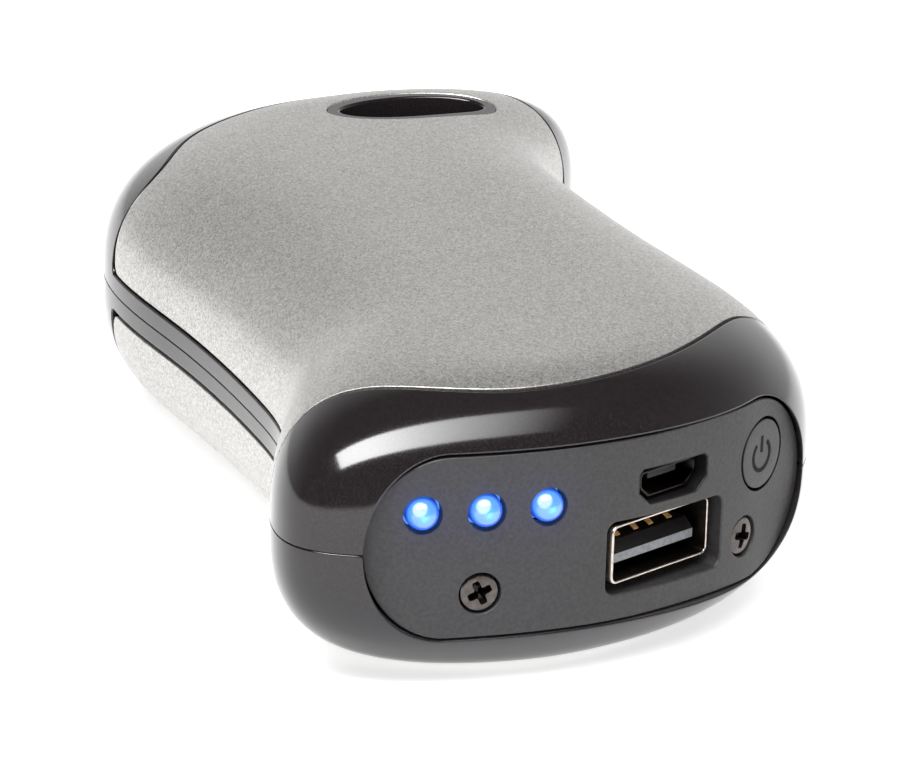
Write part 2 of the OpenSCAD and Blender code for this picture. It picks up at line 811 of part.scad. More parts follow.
module heater(side) {
    inner = panel_t + film_gap;
    intersection() {
        difference() {
            case_inside(inner, side, half_t - 6, film_ring);
            case_inside(inner + heater_t, side, half_t - 7, film_ring);
        }
        heater_prism(0);
    }
}

module heater_front() on_rest() color("#c8742c") heater(1);
module heater_back() on_rest() color("#c8742c") heater(-1);

heater_inner_z = half_t - panel_t - film_gap - heater_t;

module thermistor() on_rest() color("#1d1d1d") {
    r = 0.9;
    translate([cells_x, 6, heater_inner_z - r - 0.05]) sphere(r = r, $fn = 32);
}

// Wire of radius r along a path, as a six-sided tube
module wire(path, r) {
    sides = 6;
    last = len(path) - 1;
    function heading(i) = let (d = path[min(i + 1, last)] - path[max(i - 1, 0)]) d / norm(d);
    rings = [
        for (i = [0:last])
            let (h = heading(i), u0 = cross(h, [1, 0.2, 0.1]), u = u0 / norm(u0), v = cross(h, u))
                each [for (k = [0:sides - 1]) path[i] + r * (cos(k * 60) * u + sin(k * 60) * v)]
    ];
    sides_faces = [
        for (i = [0:last - 1])
            for (k = [0:sides - 1])
                let (a = i * sides + k, b = i * sides + (k + 1) % sides)
                    each [[a, b + sides, a + sides], [a, b, b + sides]]
    ];
    start = [for (k = [sides - 1:-1:0]) k];
    finish = [for (k = [0:sides - 1]) last * sides + k];
    polyhedron(rings, concat([start], sides_faces, [finish]));
}

lead_r = 0.5;
thin_lead_r = 0.35;
lead_gap = 0.15;
front_lead_x = [5.6, 7.4];
back_lead_x = [-9.5, -7.5];
lead_pad_y = cells_front - 2.6;

module battery_leads() on_rest() {
    front = cells_front - strip_t - lead_r - lead_gap;
    back = cells_front + cell_l + strip_t + lead_r + lead_gap;
    valley_z = 3.8;
    color("red") wire([
        [-7, front, 1.5], [-7, front, 3.4], [-7, front - 0.9, 4.6], [-7, front - 2, 4.4],
        [-7, front - 2.5, board_top + lead_gap + 0.05]
    ], lead_r);
    color("black") wire([
        [cells_x, back, 1], [cells_x, back, 3.3], [cells_x, back - 0.5, 4.1],
        [cells_x, back - 1.6, valley_z], [cells_x, cells_front - 0.6, valley_z],
        [cells_x, lead_pad_y + 0.2, 3.6], [cells_x, lead_pad_y, board_top + lead_gap + 0.05]
    ], lead_r);
}

module heater_leads() on_rest() color("#d8d2c0") {
    tail = -heater_l / 2 + 1;
    film_z = heater_inner_z - thin_lead_r - lead_gap - 0.2;
    over_cell_z = cell_d / 2 + thin_lead_r + 0.6;
    back_z = -half_t + wall_inset + thin_lead_r + lead_gap + 0.2;
    for (x = front_lead_x) wire([
        [x, tail + 3, film_z], [x, tail + 1.6, film_z - 0.3], [x, tail - 1, 11],
        [x, cells_front + 2, over_cell_z + 0.3], [x, cells_front - 0.8, over_cell_z],
        [x, cells_front - 1.8, 7], [x, lead_pad_y, board_top + 0.4]
    ], thin_lead_r);
    for (x = back_lead_x) wire([
        [x, tail + 3, -film_z], [x, tail + 1.6, -film_z + 0.3], [x, tail - 0.6, back_z],
        [x, cells_front - 2.2, back_z], [x, lead_pad_y - 0.2, back_z + 0.8],
        [x, lead_pad_y - 0.4, -6], [x, lead_pad_y - 0.4, board_z - 0.05]
    ], thin_lead_r);
}

front_housing();
back_housing();
front_panel();
back_panel();
end_plate();
plate_screws();
led_left();
led_middle();
led_right();
led_leads();
power_button();
switch_plunger();
switch_body();
usb_a_shell();
usb_a_tongue();
usb_a_contacts();
micro_usb_shell();
micro_usb_tongue();
micro_usb_contacts();
circuit_board();
board_chips();
boost_coil();
board_screws();
housing_screws();
cell_left();
cell_right();
cell_cradle();
cell_strips();
heater_front();
heater_back();
thermistor();
battery_leads();
heater_leads();
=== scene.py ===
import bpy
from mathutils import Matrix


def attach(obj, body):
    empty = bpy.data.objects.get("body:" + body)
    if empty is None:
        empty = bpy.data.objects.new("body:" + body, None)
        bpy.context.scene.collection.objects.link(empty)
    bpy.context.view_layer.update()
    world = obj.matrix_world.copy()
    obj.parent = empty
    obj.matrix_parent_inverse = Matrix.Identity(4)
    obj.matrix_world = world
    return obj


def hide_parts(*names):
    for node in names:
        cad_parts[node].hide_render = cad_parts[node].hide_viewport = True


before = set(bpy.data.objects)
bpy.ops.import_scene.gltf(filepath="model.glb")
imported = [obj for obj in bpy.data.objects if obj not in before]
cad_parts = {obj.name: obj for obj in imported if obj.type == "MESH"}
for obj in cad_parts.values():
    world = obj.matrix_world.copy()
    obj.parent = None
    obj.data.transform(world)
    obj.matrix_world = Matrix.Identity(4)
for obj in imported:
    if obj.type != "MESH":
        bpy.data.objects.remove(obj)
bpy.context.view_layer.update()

import math
from functools import lru_cache

import bmesh
import bpy
import numpy as np
from mathutils import Matrix, Vector
from mathutils.geometry import delaunay_2d_cdt

# Back housing: the lower half of the case, lying on its heat panel; everything inside is mounted in it.
# Injection moulded in glossy black ABS, 1.5 mm thick, with a shallow pocket for the panel, a rounded
# seam edge, a recess for the end plate and half of the tube that the lanyard is threaded through.
case_length, case_thickness = 108.0, 28.4
half_l, half_t = case_length / 2, case_thickness / 2
housing_wall, panel_t, glue_gap, foot_gap = 1.5, 0.8, 0.1, 0.05
pocket_depth = panel_t + glue_gap
wall_inset = pocket_depth + housing_wall
band_height = 3.6
side_fullness, side_spread = 2.8, 0.8
flat_x, flat_y = 5.0 / 28.0, 40.5 / half_l
lanyard_end_drop, drop_from = 2.1, 5
outline_knots = np.array([
    [-26.5, -37], [-27.5, -49], [-12.5, -54], [4, -52], [18.5, -45], [27.5, -29.5],
    [24.5, -5], [20.5, 19], [22, 36], [27, 50.5], [14.5, 54], [0.5, 52.5],
    [-15, 47.5], [-26.5, 31], [-25, 7], [-22.5, -15], [-23, -27.5]])
panel_knots = np.array([
    [-36, -41.5], [-24, -41.7], [-16, -45.7], [-8, -48], [1, -46.5], [9, -42], [17, -33.3],
    [24, -25.5], [36, -21], [46, 10], [38, 39], [27, 40.5], [22, 43], [19, 46], [11, 47],
    [0, 45.5], [-10, 41], [-16.5, 36], [-19.5, 31.5], [-22.5, 27], [-27, 24.5], [-37, 23],
    [-45, -10]])
lanyard_centre, lanyard_turn = np.array([7.0, 37.9]), math.radians(9)
lanyard_length, lanyard_width, lanyard_ring = 18.4, 10.4, 1.4


def fair_curve(knots):
    """Closed curve of even curvature through the knots, as a function of the knot number."""
    n = len(knots)
    ahead = np.roll(knots, -1, 0) - knots
    gap = np.hypot(ahead[:, 0], ahead[:, 1])
    behind = np.roll(gap, 1)
    balance = np.zeros((n, n))
    for i in range(n):
        balance[i, i] = 2 * (gap[i] + behind[i])
        balance[i, i - 1] = gap[i]
        balance[i, (i + 1) % n] = behind[i]
    pull = 3 * (ahead * (behind / gap)[:, None] + np.roll(ahead, 1, 0) * (gap / behind)[:, None])
    slope = np.linalg.solve(balance, pull)

    def at(t, heading=False):
        i = np.floor(t).astype(int)
        u = (t - i)[..., None]
        i, j = i % n, (i + 1) % n
        h = gap[i][..., None]
        if heading:
            return ((6 * u * u - 6 * u) * (knots[i] - knots[j]) / h
                    + (3 * u * u - 4 * u + 1) * slope[i] + (3 * u * u - 2 * u) * slope[j])
        return ((2 * u ** 3 - 3 * u * u + 1) * knots[i] + (u ** 3 - 2 * u * u + u) * h * slope[i]
                + (3 * u * u - 2 * u ** 3) * knots[j] + (u ** 3 - u * u) * h * slope[j])

    return at


def unit(v):
    return v / np.maximum(np.linalg.norm(v, axis=-1, keepdims=True), 1e-12)


def plan_normal(heading):
    return unit(np.stack([heading[..., 1], -heading[..., 0]], -1))


outline = fair_curve(outline_knots)
rounds = len(outline_knots)
outline_t = np.arange(0, rounds, 1 / 40)
outline_loop = outline(outline_t)
outline_bearing = np.unwrap(np.arctan2(outline_loop[:, 1], outline_loop[:, 0]))


def plan_scale(c):
    """Share of the outline's reach along x and y at a level of the side, c from 0 on the face to 1."""
    return flat_x + (1 - flat_x) * c, flat_y + (1 - flat_y) * c


def face_drop(y, upper):
    """How far the upper face falls towards the lanyard end, and how fast."""
    reach = np.maximum(0, y - drop_from) / (half_l - drop_from) * upper
    k = lanyard_end_drop / half_t
    return k * reach ** 2, 2 * k * reach / (half_l - drop_from)


def skin(t, a, upper):
    """Rows of flat plan, point and normal on one half of the case: t goes round it, a from seam to face."""
    t, a = np.broadcast_arrays(np.asarray(t, float), np.asarray(a, float))
    o, d = outline(t), outline(t, heading=True)
    c = np.clip(np.cos(a), 0, 1) ** (2 / side_fullness)
    s = np.clip(np.sin(a), 0, 1) ** (2 / side_fullness)
    wx, wy = plan_scale(c)
    x, y = o[..., 0] * wx, o[..., 1] * wy
    fall, rate = face_drop(y, upper)
    along = np.stack([d[..., 0] * wx, d[..., 1] * wy, -half_t * s * rate * d[..., 1] * wy], -1)
    k = s ** (side_fullness - 1)
    inward = np.stack([
        -o[..., 0] * (1 - flat_x) * k, -o[..., 1] * (1 - flat_y) * k,
        half_t * c ** (side_fullness - 1) * (1 - fall)
        + half_t * s ** side_fullness * rate * o[..., 1] * (1 - flat_y)], -1)
    flat = np.stack([x, y], -1) + plan_normal(d) * (side_spread * half_t * (1 - s))[..., None]
    point = np.stack([x, y, half_t * s * (1 - fall)], -1)
    return np.concatenate([flat, point, unit(np.cross(along, inward))], -1)


def in_loop(points, loop):
    """Which points lie inside a closed loop."""
    x, y = points[:, :1], points[:, 1:2]
    x0, y0 = loop[:, 0], loop[:, 1]
    x1, y1 = np.roll(x0, -1), np.roll(y0, -1)
    crossed = (y0 > y) != (y1 > y)
    return (crossed & (x < x0 + (y - y0) * (x1 - x0) / (y1 - y0 + 1e-12))).sum(1) % 2 == 1


def least(holds, count, top):
    """Least values from 0 to top at which holds is true, found by halving for count places at once."""
    low, high = np.zeros(count), np.full(count, top)
    for _ in range(20):
        value = (low + high) / 2
        held = holds(value)
        high, low = np.where(held, value, high), np.where(held, low, value)
    return high


def over(xy, upper):
    """The same rows for points of the plan, straight up onto the half."""
    c = least(lambda c: in_loop(xy / np.stack(plan_scale(c), -1), outline_loop), len(xy), 1.0)
    wx, wy = plan_scale(c)
    t = np.interp(np.arctan2(xy[:, 1] / wy, xy[:, 0] / wx), outline_bearing, outline_t, period=2 * math.pi)
    rows = skin(t, np.arccos(np.clip(c, 0, 1) ** (side_fullness / 2)), upper)
    fall, rate = face_drop(xy[:, 1], upper)
    s = (1 - c ** side_fullness) ** (1 / side_fullness)
    rows[:, :2] = xy + plan_normal(outline(t, heading=True)) * (side_spread * half_t * (1 - s))[:, None]
    rows[:, 2:4] = xy
    rows[:, 4] = half_t * s * (1 - fall)
    crown = c < 1e-4
    rows[crown, 5:] = unit(np.stack([0 * rate, half_t * rate, 1 + 0 * rate], -1))[crown]
    return rows


def angle_at_height(z, y, upper):
    return np.arcsin(np.clip(z / (half_t * (1 - face_drop(y, upper)[0])), 0, 1) ** (side_fullness / 2))


def panel_border(upper, gap, rounding, spacing=0.55):
    """The line on the half along which a panel ends, gap inside its pocket, with rounded corners."""
    panel_edge = fair_curve(panel_knots)
    edge_t = np.arange(0, len(panel_knots), 1 / 16)
    edge = panel_edge(edge_t) - gap * plan_normal(panel_edge(edge_t, heading=True))
    t = np.arange(0, rounds, 1 / 60)
    step = 0.285
    high = least(lambda a: in_loop(skin(t, a, upper)[:, 2:4], edge), len(t), math.pi / 2)
    y = skin(t, high, upper)[:, 3]
    band_edge = angle_at_height(band_height / 2 + gap, y, upper)
    height = np.sin(np.maximum(high, band_edge)) ** (2 / side_fullness)
    reach = max(1, int(rounding / step))
    window = np.hanning(2 * reach + 3)[1:-1]
    padded = np.concatenate([height[-reach:], height, height[:reach]])
    height = np.convolve(padded, window / window.sum(), "valid")
    a = np.arcsin(height ** (side_fullness / 2))
    path = skin(t, a, upper)[:, 2:5]
    steps = np.linalg.norm(np.roll(path, -1, 0) - path, axis=1)
    length = np.concatenate([[0], np.cumsum(steps)])
    places = np.arange(int(length[-1] / spacing)) * length[-1] / int(length[-1] / spacing)
    t = np.interp(places, length, np.append(t, rounds))
    a = np.interp(places, length, np.append(a, a[0]))
    return skin(t, a, upper)


def circle(count):
    """Directions spread evenly round one turn, anticlockwise."""
    b = np.arange(count) * 2 * math.pi / count
    return np.stack([np.cos(b), np.sin(b)], -1)


def lanyard_oval(grow, count=96):
    """The opening in plan, larger all round by grow."""
    u, v = (circle(count) * [lanyard_length / 2 + grow, lanyard_width / 2 + grow]).T
    co, si = math.cos(lanyard_turn), math.sin(lanyard_turn)
    return lanyard_centre + np.stack([u * co - v * si, u * si + v * co], -1)


@lru_cache(maxsize=None)
def cloud_of(upper, spacing):
    """Points spread evenly over a whole half, to carry its surface between the edges."""
    girth, side_height = 290, 17
    t = np.linspace(0, rounds, int(girth / spacing), endpoint=False)
    rise = np.linspace(0.06, 0.8, int(side_height / spacing))
    t, a = np.meshgrid(t, np.arcsin(rise ** (side_fullness / 2)))
    side = skin(t.ravel(), a.ravel(), upper)
    ring = outline_loop * plan_scale((1 - rise[-1] ** side_fullness) ** (1 / side_fullness))
    x, y = np.meshgrid(np.arange(-30, 30, spacing), np.arange(-55, 55, spacing * 0.87))
    x = x + (np.arange(x.shape[0]) % 2)[:, None] * spacing / 2
    grid = np.stack([x.ravel(), y.ravel()], -1)
    grid = grid[in_loop(grid, ring)]
    near = np.sqrt(((grid[:, None] - ring[None]) ** 2).sum(-1)).min(1)
    return np.vstack([side, over(grid[near > 0.5 * spacing], upper)])


def quilt(loops, cloud, spacing):
    """Triangles between an outer loop and the loops inside it, over the cloud's points."""
    keep = in_loop(cloud[:, :2], loops[0][:, :2])
    for loop in loops:
        if loop is not loops[0]:
            keep &= ~in_loop(cloud[:, :2], loop[:, :2])
        near = np.full(len(cloud), 1e9)
        for k in range(0, len(loop), 64):
            gaps = cloud[:, None, :2] - loop[None, k:k + 64, :2]
            near = np.minimum(near, (gaps ** 2).sum(-1).min(1))
        keep &= near > (0.62 * spacing) ** 2
    rows = np.vstack(loops + [cloud[keep]])
    edges, start = [], 0
    for loop in loops:
        n = len(loop)
        edges += [(start + k, start + (k + 1) % n) for k in range(n)]
        start += n
    found = delaunay_2d_cdt([Vector(q) for q in rows[:, :2]], edges, [], 0, 1e-7)
    source = [o[0] if o else -1 for o in found[3]]
    faces = np.array([[source[v] for v in f] for f in found[2]])
    faces = faces[(faces >= 0).all(1)]
    centres = rows[faces, :2].mean(1)
    inside = in_loop(centres, loops[0][:, :2])
    for loop in loops[1:]:
        inside &= ~in_loop(centres, loop[:, :2])
    return rows, faces[inside]


def loop_frame(rows):
    """Direction along a loop, and the direction on the surface to its left."""
    along = unit(np.roll(rows[:, 2:5], -1, 0) - np.roll(rows[:, 2:5], 1, 0))
    return along, unit(np.cross(rows[:, 5:], along))


def placed(name, data):
    """A new object of the scene."""
    made = bpy.data.objects.new(name, data)
    bpy.context.scene.collection.objects.link(made)
    return made


class Body:
    """Collects the rings, bands and sheets of one closed piece, in millimetres."""

    def __init__(self):
        self.points, self.normals, self.faces, self.second_faces = [], [], [], []
        self.count = 0

    def ring(self, points, normals=(0, 0, 1)):
        self.points.append(np.array(points, float))
        self.normals.append(np.broadcast_to(normals, np.shape(points)).astype(float))
        self.count += len(points)
        return np.arange(self.count - len(points), self.count)

    def bands(self, rings):
        for low, high in zip(rings[:-1], rings[1:]):
            for k in range(len(low)):
                m = (k + 1) % len(low)
                self.faces.append([low[k], low[m], high[m], high[k]])

    def sheet(self, rows, faces, depth=0.0, flip=False):
        sign = -1 if flip else 1
        index = self.ring(rows[:, 2:5] - depth * rows[:, 5:], sign * rows[:, 5:])
        self.faces += [list(index[f]) for f in faces]
        return index

    def roll(self, edge, start, into, first, last, radius, steps=4):
        """Rounded edge from edge + radius * start to edge + radius * into."""
        rings = []
        for k in range(1, steps + 1):
            u = k / steps
            place = edge + radius * ((1 - u) ** 2 * start + u * u * into)
            turn = u * math.pi / 2
            rings.append(self.ring(place, unit(math.cos(turn) * first + math.sin(turn) * last)))
        return rings

    def piece(self, name, material, slot, stands_for=(), body="root", mirror=False, crease=None, second=None):
        """Makes the object; with a crease angle its own faces set the shading, sharp above the angle."""
        points, normals = np.vstack(self.points), np.vstack(self.normals)
        if mirror:
            points, normals = points * [1, 1, -1], normals * [1, 1, -1]
        points = (points - middle) / 1000
        mesh = bpy.data.meshes.new(name)
        mesh.from_pydata(points.tolist(), [], [[int(v) for v in f] for f in self.faces])
        work = bmesh.new()
        work.from_mesh(mesh)
        bmesh.ops.holes_fill(work, edges=work.edges, sides=6)
        bmesh.ops.recalc_face_normals(work, faces=work.faces)
        work.to_mesh(mesh)
        work.free()
        mesh.polygons.foreach_set("use_smooth", np.ones(len(mesh.polygons), bool))
        if crease is None:
            mesh.normals_split_custom_set_from_vertices(unit(normals).tolist())
        else:
            mesh.set_sharp_from_angle(angle=math.radians(crease))
        obj = placed(name, mesh)
        mesh.materials.append(material)
        if second:
            mesh.materials.append(second)
            for k in self.second_faces:
                mesh.polygons[k].material_index = 1
        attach(obj, body)
        if stands_for:
            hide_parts(*stands_for)


plate_inset, plate_t, plate_gap, behind_plate = 1.5, 1.6, 0.25, 0.9
plate_sweep, sweep_end = 0.8, 31.0
plate_height, plate_left, plate_right = 17.4, -21.7, 24.4
plate_left_end, plate_right_end = 7.8, 6.6
straight_from, straight_slope = 19.4, math.tan(math.radians(42))
lamp_x, lamp_proud = (-16.35, -10.4, -4.45), 0.9


def plate_curve(depth):
    """Plan points, left to right, of the line that lies depth inside the port end."""
    t = np.arange(0.9, 5.6, 1 / 80)
    p = outline(t)
    sweep = plate_sweep * np.sin(math.pi * np.clip(p[:, 0], 0, sweep_end) / sweep_end) ** 2
    return p - (depth + sweep)[:, None] * plan_normal(outline(t, heading=True))


# Past the button the plate runs straight on to its right end
plate_path = plate_curve(plate_inset)
last = np.argmax((plate_path[:, 0] > straight_from) & (plate_path[:, 1] < 0))
run = np.arange(0.1, 8, 0.1)
plate_path = np.vstack([plate_path[:last], plate_path[last] + np.stack([run, run * straight_slope], -1)])
# Middle of the part's box, from the lamps' tips to the lanyard end, over the frame's origin
port_side = plate_path[(plate_path[:, 0] > -20) & (plate_path[:, 0] < 10)]
lowest_y = min(np.interp(x, *port_side.T) for x in lamp_x) - lamp_proud
middle = np.array([(outline_loop[:, 0].max() + outline_loop[:, 0].min()) / 2,
                   (outline_loop[:, 1].max() + lowest_y) / 2, -half_t])


def plate_arc(grow_end, grow_height, count=22):
    """Upper half of the plate's outline seen from the port end, left to right."""
    r = plate_height / 2 + grow_height
    left_end, right_end = plate_left_end + grow_end, plate_right_end + grow_end
    left, right = plate_left - grow_end + left_end, plate_right + grow_end - right_end
    b = np.radians(np.linspace(180, 90, count))
    first = np.stack([left + left_end * np.cos(b), r * np.sin(b)], -1)
    b = np.radians(np.linspace(90, 0, count))
    last = np.stack([right + right_end * np.cos(b), r * np.sin(b)], -1)
    across = np.linspace(left, right, 52)[1:-1]
    return np.vstack([first, np.stack([across, np.full(len(across), r)], -1), last])


def on_port(xz):
    """Knot number and angle of the points of the port end with the given x and z."""
    port_t = np.arange(1.05, 4.98, 1 / 100)
    a = np.arcsin(np.clip(xz[:, 1] / half_t, 0, 1) ** (side_fullness / 2))
    level_x = plan_scale(np.cos(a) ** (2 / side_fullness))[0]
    return np.interp(xz[:, 0] / level_x, outline(port_t)[:, 0], port_t), a


seam_radius, seam_gap, seam_flat, seam_back = 0.16, 0.012, 0.8, 1.6
recess_radius, recess_frame = 0.3, 2.0
pocket_radius, pocket_corner = 0.22, 0.5
tube_gap, tube_sunk, tube_back = 0.3, 0.12, 0.1
tube_edge, tube_lip = 0.2, 0.3
up = np.array([0.0, 0.0, 1.0])


def housing(upper, spacing=1.0, inner_spacing=2.6):
    """One half of the case, as the upper one stands."""
    body = Body()
    cloud = cloud_of(upper, spacing)
    # Outer edge: the top edge of the plate's recess, then the seam round the sides
    recess = plate_arc(plate_gap, plate_gap)
    recess_t, recess_a = on_port(recess)
    seam_t = np.linspace(recess_t[-1], recess_t[0] + rounds, 330)[1:-1]
    seam_a = np.full(len(seam_t), 1e-4)
    low_edge = skin(np.concatenate([recess_t, seam_t]), np.concatenate([recess_a, seam_a]), upper)
    is_seam = np.arange(len(low_edge)) >= len(recess)
    is_recess = ~is_seam
    low_edge[is_seam, 4] = seam_gap
    along, left = loop_frame(low_edge)
    left[is_seam] = up
    into = np.where(is_seam[:, None], -low_edge[:, 5:], [0.0, 1.0, 0.0])
    radius = np.where(is_seam, seam_radius, recess_radius)[:, None]
    wall_normal = unit(np.cross(into, along))
    wall_normal *= np.where((wall_normal * left).sum(1) > 0, -1, 1)[:, None]
    start = low_edge.copy()
    start[:, 2:5] += radius * left
    # Inner edge: the border of the panel's pocket
    pocket = panel_border(upper, 0.0, pocket_corner)
    pocket_left = loop_frame(pocket)[1]
    rim = pocket.copy()
    rim[:, 2:5] -= pocket_radius * pocket_left
    index = body.sheet(*quilt([start, rim], cloud, spacing))
    outer, inner = index[:len(start)], index[len(start):len(start) + len(rim)]
    # Down into the pocket, its floor, and the tube for the lanyard
    rolled = body.roll(pocket[:, 2:5], -pocket_left, -pocket[:, 5:], pocket[:, 5:], pocket_left,
                       pocket_radius)
    foot = body.ring(pocket[:, 2:5] - (pocket_depth - foot_gap) * pocket[:, 5:], pocket_left)
    body.bands([inner] + rolled + [foot])
    tube_foot = over(lanyard_oval(-tube_gap), upper)
    floor_rows, floor_faces = quilt([pocket, tube_foot], cloud, spacing)
    floor_rows[:, 2:5] -= pocket_depth * floor_rows[:, 5:]
    index = body.sheet(floor_rows, floor_faces)
    body.bands([foot, index[:len(pocket)]])
    low_foot = index[len(pocket):len(pocket) + len(tube_foot)]
    foot_left = loop_frame(tube_foot)[1]
    outside = body.roll(tube_foot[:, 2:5] - tube_sunk * up, -up, -foot_left, foot_left, up, tube_edge)
    tube = over(lanyard_oval(-lanyard_ring), upper)
    tube_left = loop_frame(tube)[1]
    tube[:, 4] -= tube_sunk
    rolled = body.roll(tube[:, 2:5], -tube_left, -up, up, tube_left, tube_lip)
    tube_top = body.ring(tube[:, 2:5] - tube_lip * tube_left, up)
    bottom = body.ring(tube[:, 2:5] * [1, 1, 0], tube_left)
    back_of_tube = over(lanyard_oval(-tube_back), upper)
    outer_bottom = body.ring(back_of_tube[:, 2:5] * [1, 1, 0], -up)
    back_of_tube[:, 4] -= wall_inset / back_of_tube[:, 7]
    body.bands([low_foot] + outside + [tube_top] + rolled + [bottom, outer_bottom])
    # Inner surface, from the seam or the recess to the tube
    arc_t, arc_a = on_port(plate_arc(plate_gap + housing_wall, plate_gap + housing_wall + recess_frame))
    inner_edge = skin(np.concatenate([arc_t, seam_t]), np.concatenate([arc_a, seam_a]), upper)
    inner_edge[is_seam, 4] = 0.0
    inside, inside_faces = quilt([inner_edge, back_of_tube], cloud_of(upper, inner_spacing), inner_spacing)
    depth = np.full(len(inside), wall_inset)
    n = len(inner_edge)
    depth[n:n + len(back_of_tube)] = 0
    inside[:, 2:5] -= depth[:, None] * inside[:, 5:]
    index = body.sheet(inside, inside_faces, flip=True)
    body.bands([outer_bottom, index[n:n + len(back_of_tube)]])
    # Edge faces: the seam's flat, or the walls of the recess, which are the second faces and carry a painted
    # sheen
    rolled = body.roll(low_edge[:, 2:5], left, into, low_edge[:, 5:], wall_normal, radius)
    deep = plate_curve(plate_inset + plate_t + behind_plate)
    wall_end = low_edge[:, 2:5] - seam_flat * low_edge[:, 5:]
    wall_end[is_recess] = low_edge[is_recess, 2:5]
    frame_back = low_edge[:, 2:5] - seam_back * low_edge[:, 5:]
    frame_back[is_recess] = inside[:n, 2:5][is_recess]
    for end in (wall_end, frame_back):
        end[is_recess, 1] = np.interp(end[is_recess, 0], deep[:, 0], deep[:, 1])
    wall_start = len(body.faces) + 3 * n
    body.bands([outer] + rolled + [body.ring(wall_end, wall_normal), body.ring(frame_back, [0, 1, 0]),
                                   index[:n]])
    recess_run = np.arange(len(recess) - 1)
    body.second_faces = (wall_start + np.concatenate([recess_run, n + recess_run])).tolist()
    return body


def wire(tree, *pairs):
    """Links sockets, or sets a socket to a plain value."""
    for source, target in pairs:
        if isinstance(source, bpy.types.NodeSocket):
            tree.links.new(source, target)
        else:
            target.default_value = source


def node(tree, kind, **values):
    """Adds a shader node; names that it has as sockets are wired or set there, the others on the node."""
    made = tree.nodes.new(kind)
    for key, value in values.items():
        match = [s for s in made.inputs if s.enabled and s.name.lower() == key.replace("_", " ")]
        if match and not hasattr(made, key):
            wire(tree, (value, match[0]))
        else:
            setattr(made, key, value)
    return made


def texture(tree, kind, laid_by="Object", **values):
    """The outputs of a texture that is laid over the object by its own coordinates or its normals."""
    return node(tree, kind, vector=node(tree, "ShaderNodeTexCoord").outputs[laid_by], **values).outputs


def ramp(tree, value, start, end, low=0.0, high=1.0, curve="LINEAR"):
    """Spreads a value from start to end over low to high."""
    return node(tree, "ShaderNodeMapRange", interpolation_type=curve, value=value, from_min=start,
                from_max=end, to_min=low, to_max=high).outputs["Result"]


# Grain that the materials share: fine pits, a little unevenness of tone, and soft waves in the gloss
grain = bpy.data.node_groups.new("moulded_grain", "ShaderNodeTree")
for title, kind, way in (("Pit Size", "Float", "INPUT"), ("Rough From", "Float", "INPUT"),
                         ("Rough To", "Float", "INPUT"), ("Color", "Color", "INPUT"),
                         ("Color", "Color", "OUTPUT"), ("Roughness", "Float", "OUTPUT"),
                         ("Height", "Float", "OUTPUT")):
    grain.interface.new_socket(title, in_out=way, socket_type="NodeSocket" + kind)
given, out = node(grain, "NodeGroupInput").outputs, node(grain, "NodeGroupOutput").inputs
pits = texture(grain, "ShaderNodeTexNoise", scale=given["Pit Size"], detail=3.0, roughness=0.6)["Fac"]
waves = texture(grain, "ShaderNodeTexNoise", scale=90.0, detail=2.0)["Fac"]
gloss = ramp(grain, waves, 0.0, 1.0, given["Rough From"], given["Rough To"])
tint = node(grain, "ShaderNodeHueSaturation", value=ramp(grain, pits, 0.35, 0.65, 0.78, 1.22))
wire(grain, (given["Color"], tint.inputs["Color"]), (tint.outputs["Color"], out["Color"]),
     (gloss, out["Roughness"]), (pits, out["Height"]))


def finish(name):
    """A new material, with its nodes and its shader."""
    made = bpy.data.materials.new(name)
    made.use_nodes = True
    return made, made.node_tree, made.node_tree.nodes["Principled BSDF"]


def grained(name, color, rough, pit=4000.0):
    """Material with the grain in its colour and gloss; rough is the range of its roughness."""
    made, tree, shader = finish(name)
    look = node(tree, "ShaderNodeGroup", node_tree=grain, pit_size=pit, rough_from=rough[0],
                rough_to=rough[1])
    wire(tree, ((*color, 1), look.inputs["Color"]), (look.outputs["Color"], shader.inputs["Base Color"]),
         (look.outputs["Roughness"], shader.inputs["Roughness"]))
    return made, tree, shader, look.outputs["Height"]


def pitted(tree, shader, height, strength, deepest=0.00004):
    """Relief of the surface from a height."""
    relief = node(tree, "ShaderNodeBump", strength=strength, distance=deepest)
    wire(tree, (height, relief.inputs["Height"]), (relief.outputs["Normal"], shader.inputs["Normal"]))


def plastic(name, color, rough, pit=4000.0, bump=0.05, specular=0.5):
    """Moulded plastic."""
    made, tree, shader, height = grained(name, color, rough, pit)
    pitted(tree, shader, height, bump)
    shader.inputs["Specular IOR Level"].default_value = specular
    return made


black_abs = plastic("black_abs", (0.014, 0.0115, 0.012), (0.09, 0.13), bump=0.012)
# The recess walls get a lighter, textured grey: moulded grain, and a painted sheen that stands for the plate
# mirrored in them
recess_grain_painted_sheen = plastic("recess_grain_painted_sheen", (0.045, 0.042, 0.043), (0.42, 0.55), pit=3200.0, bump=0.5)
housing(False).piece("back_housing_shell", black_abs, "black_plastic", ["back_housing"], mirror=True,
                     second=recess_grain_painted_sheen)

# Heat panels: two pressed aluminium skins with a silver flake lacquer, glued into the housing's pockets.
# Their edges are rolled over, and each has the oval cut-out for the lanyard.
panel_groove, panel_corner = 0.35, 1.5
panel_rim, cutout_rim = 0.1, 0.18


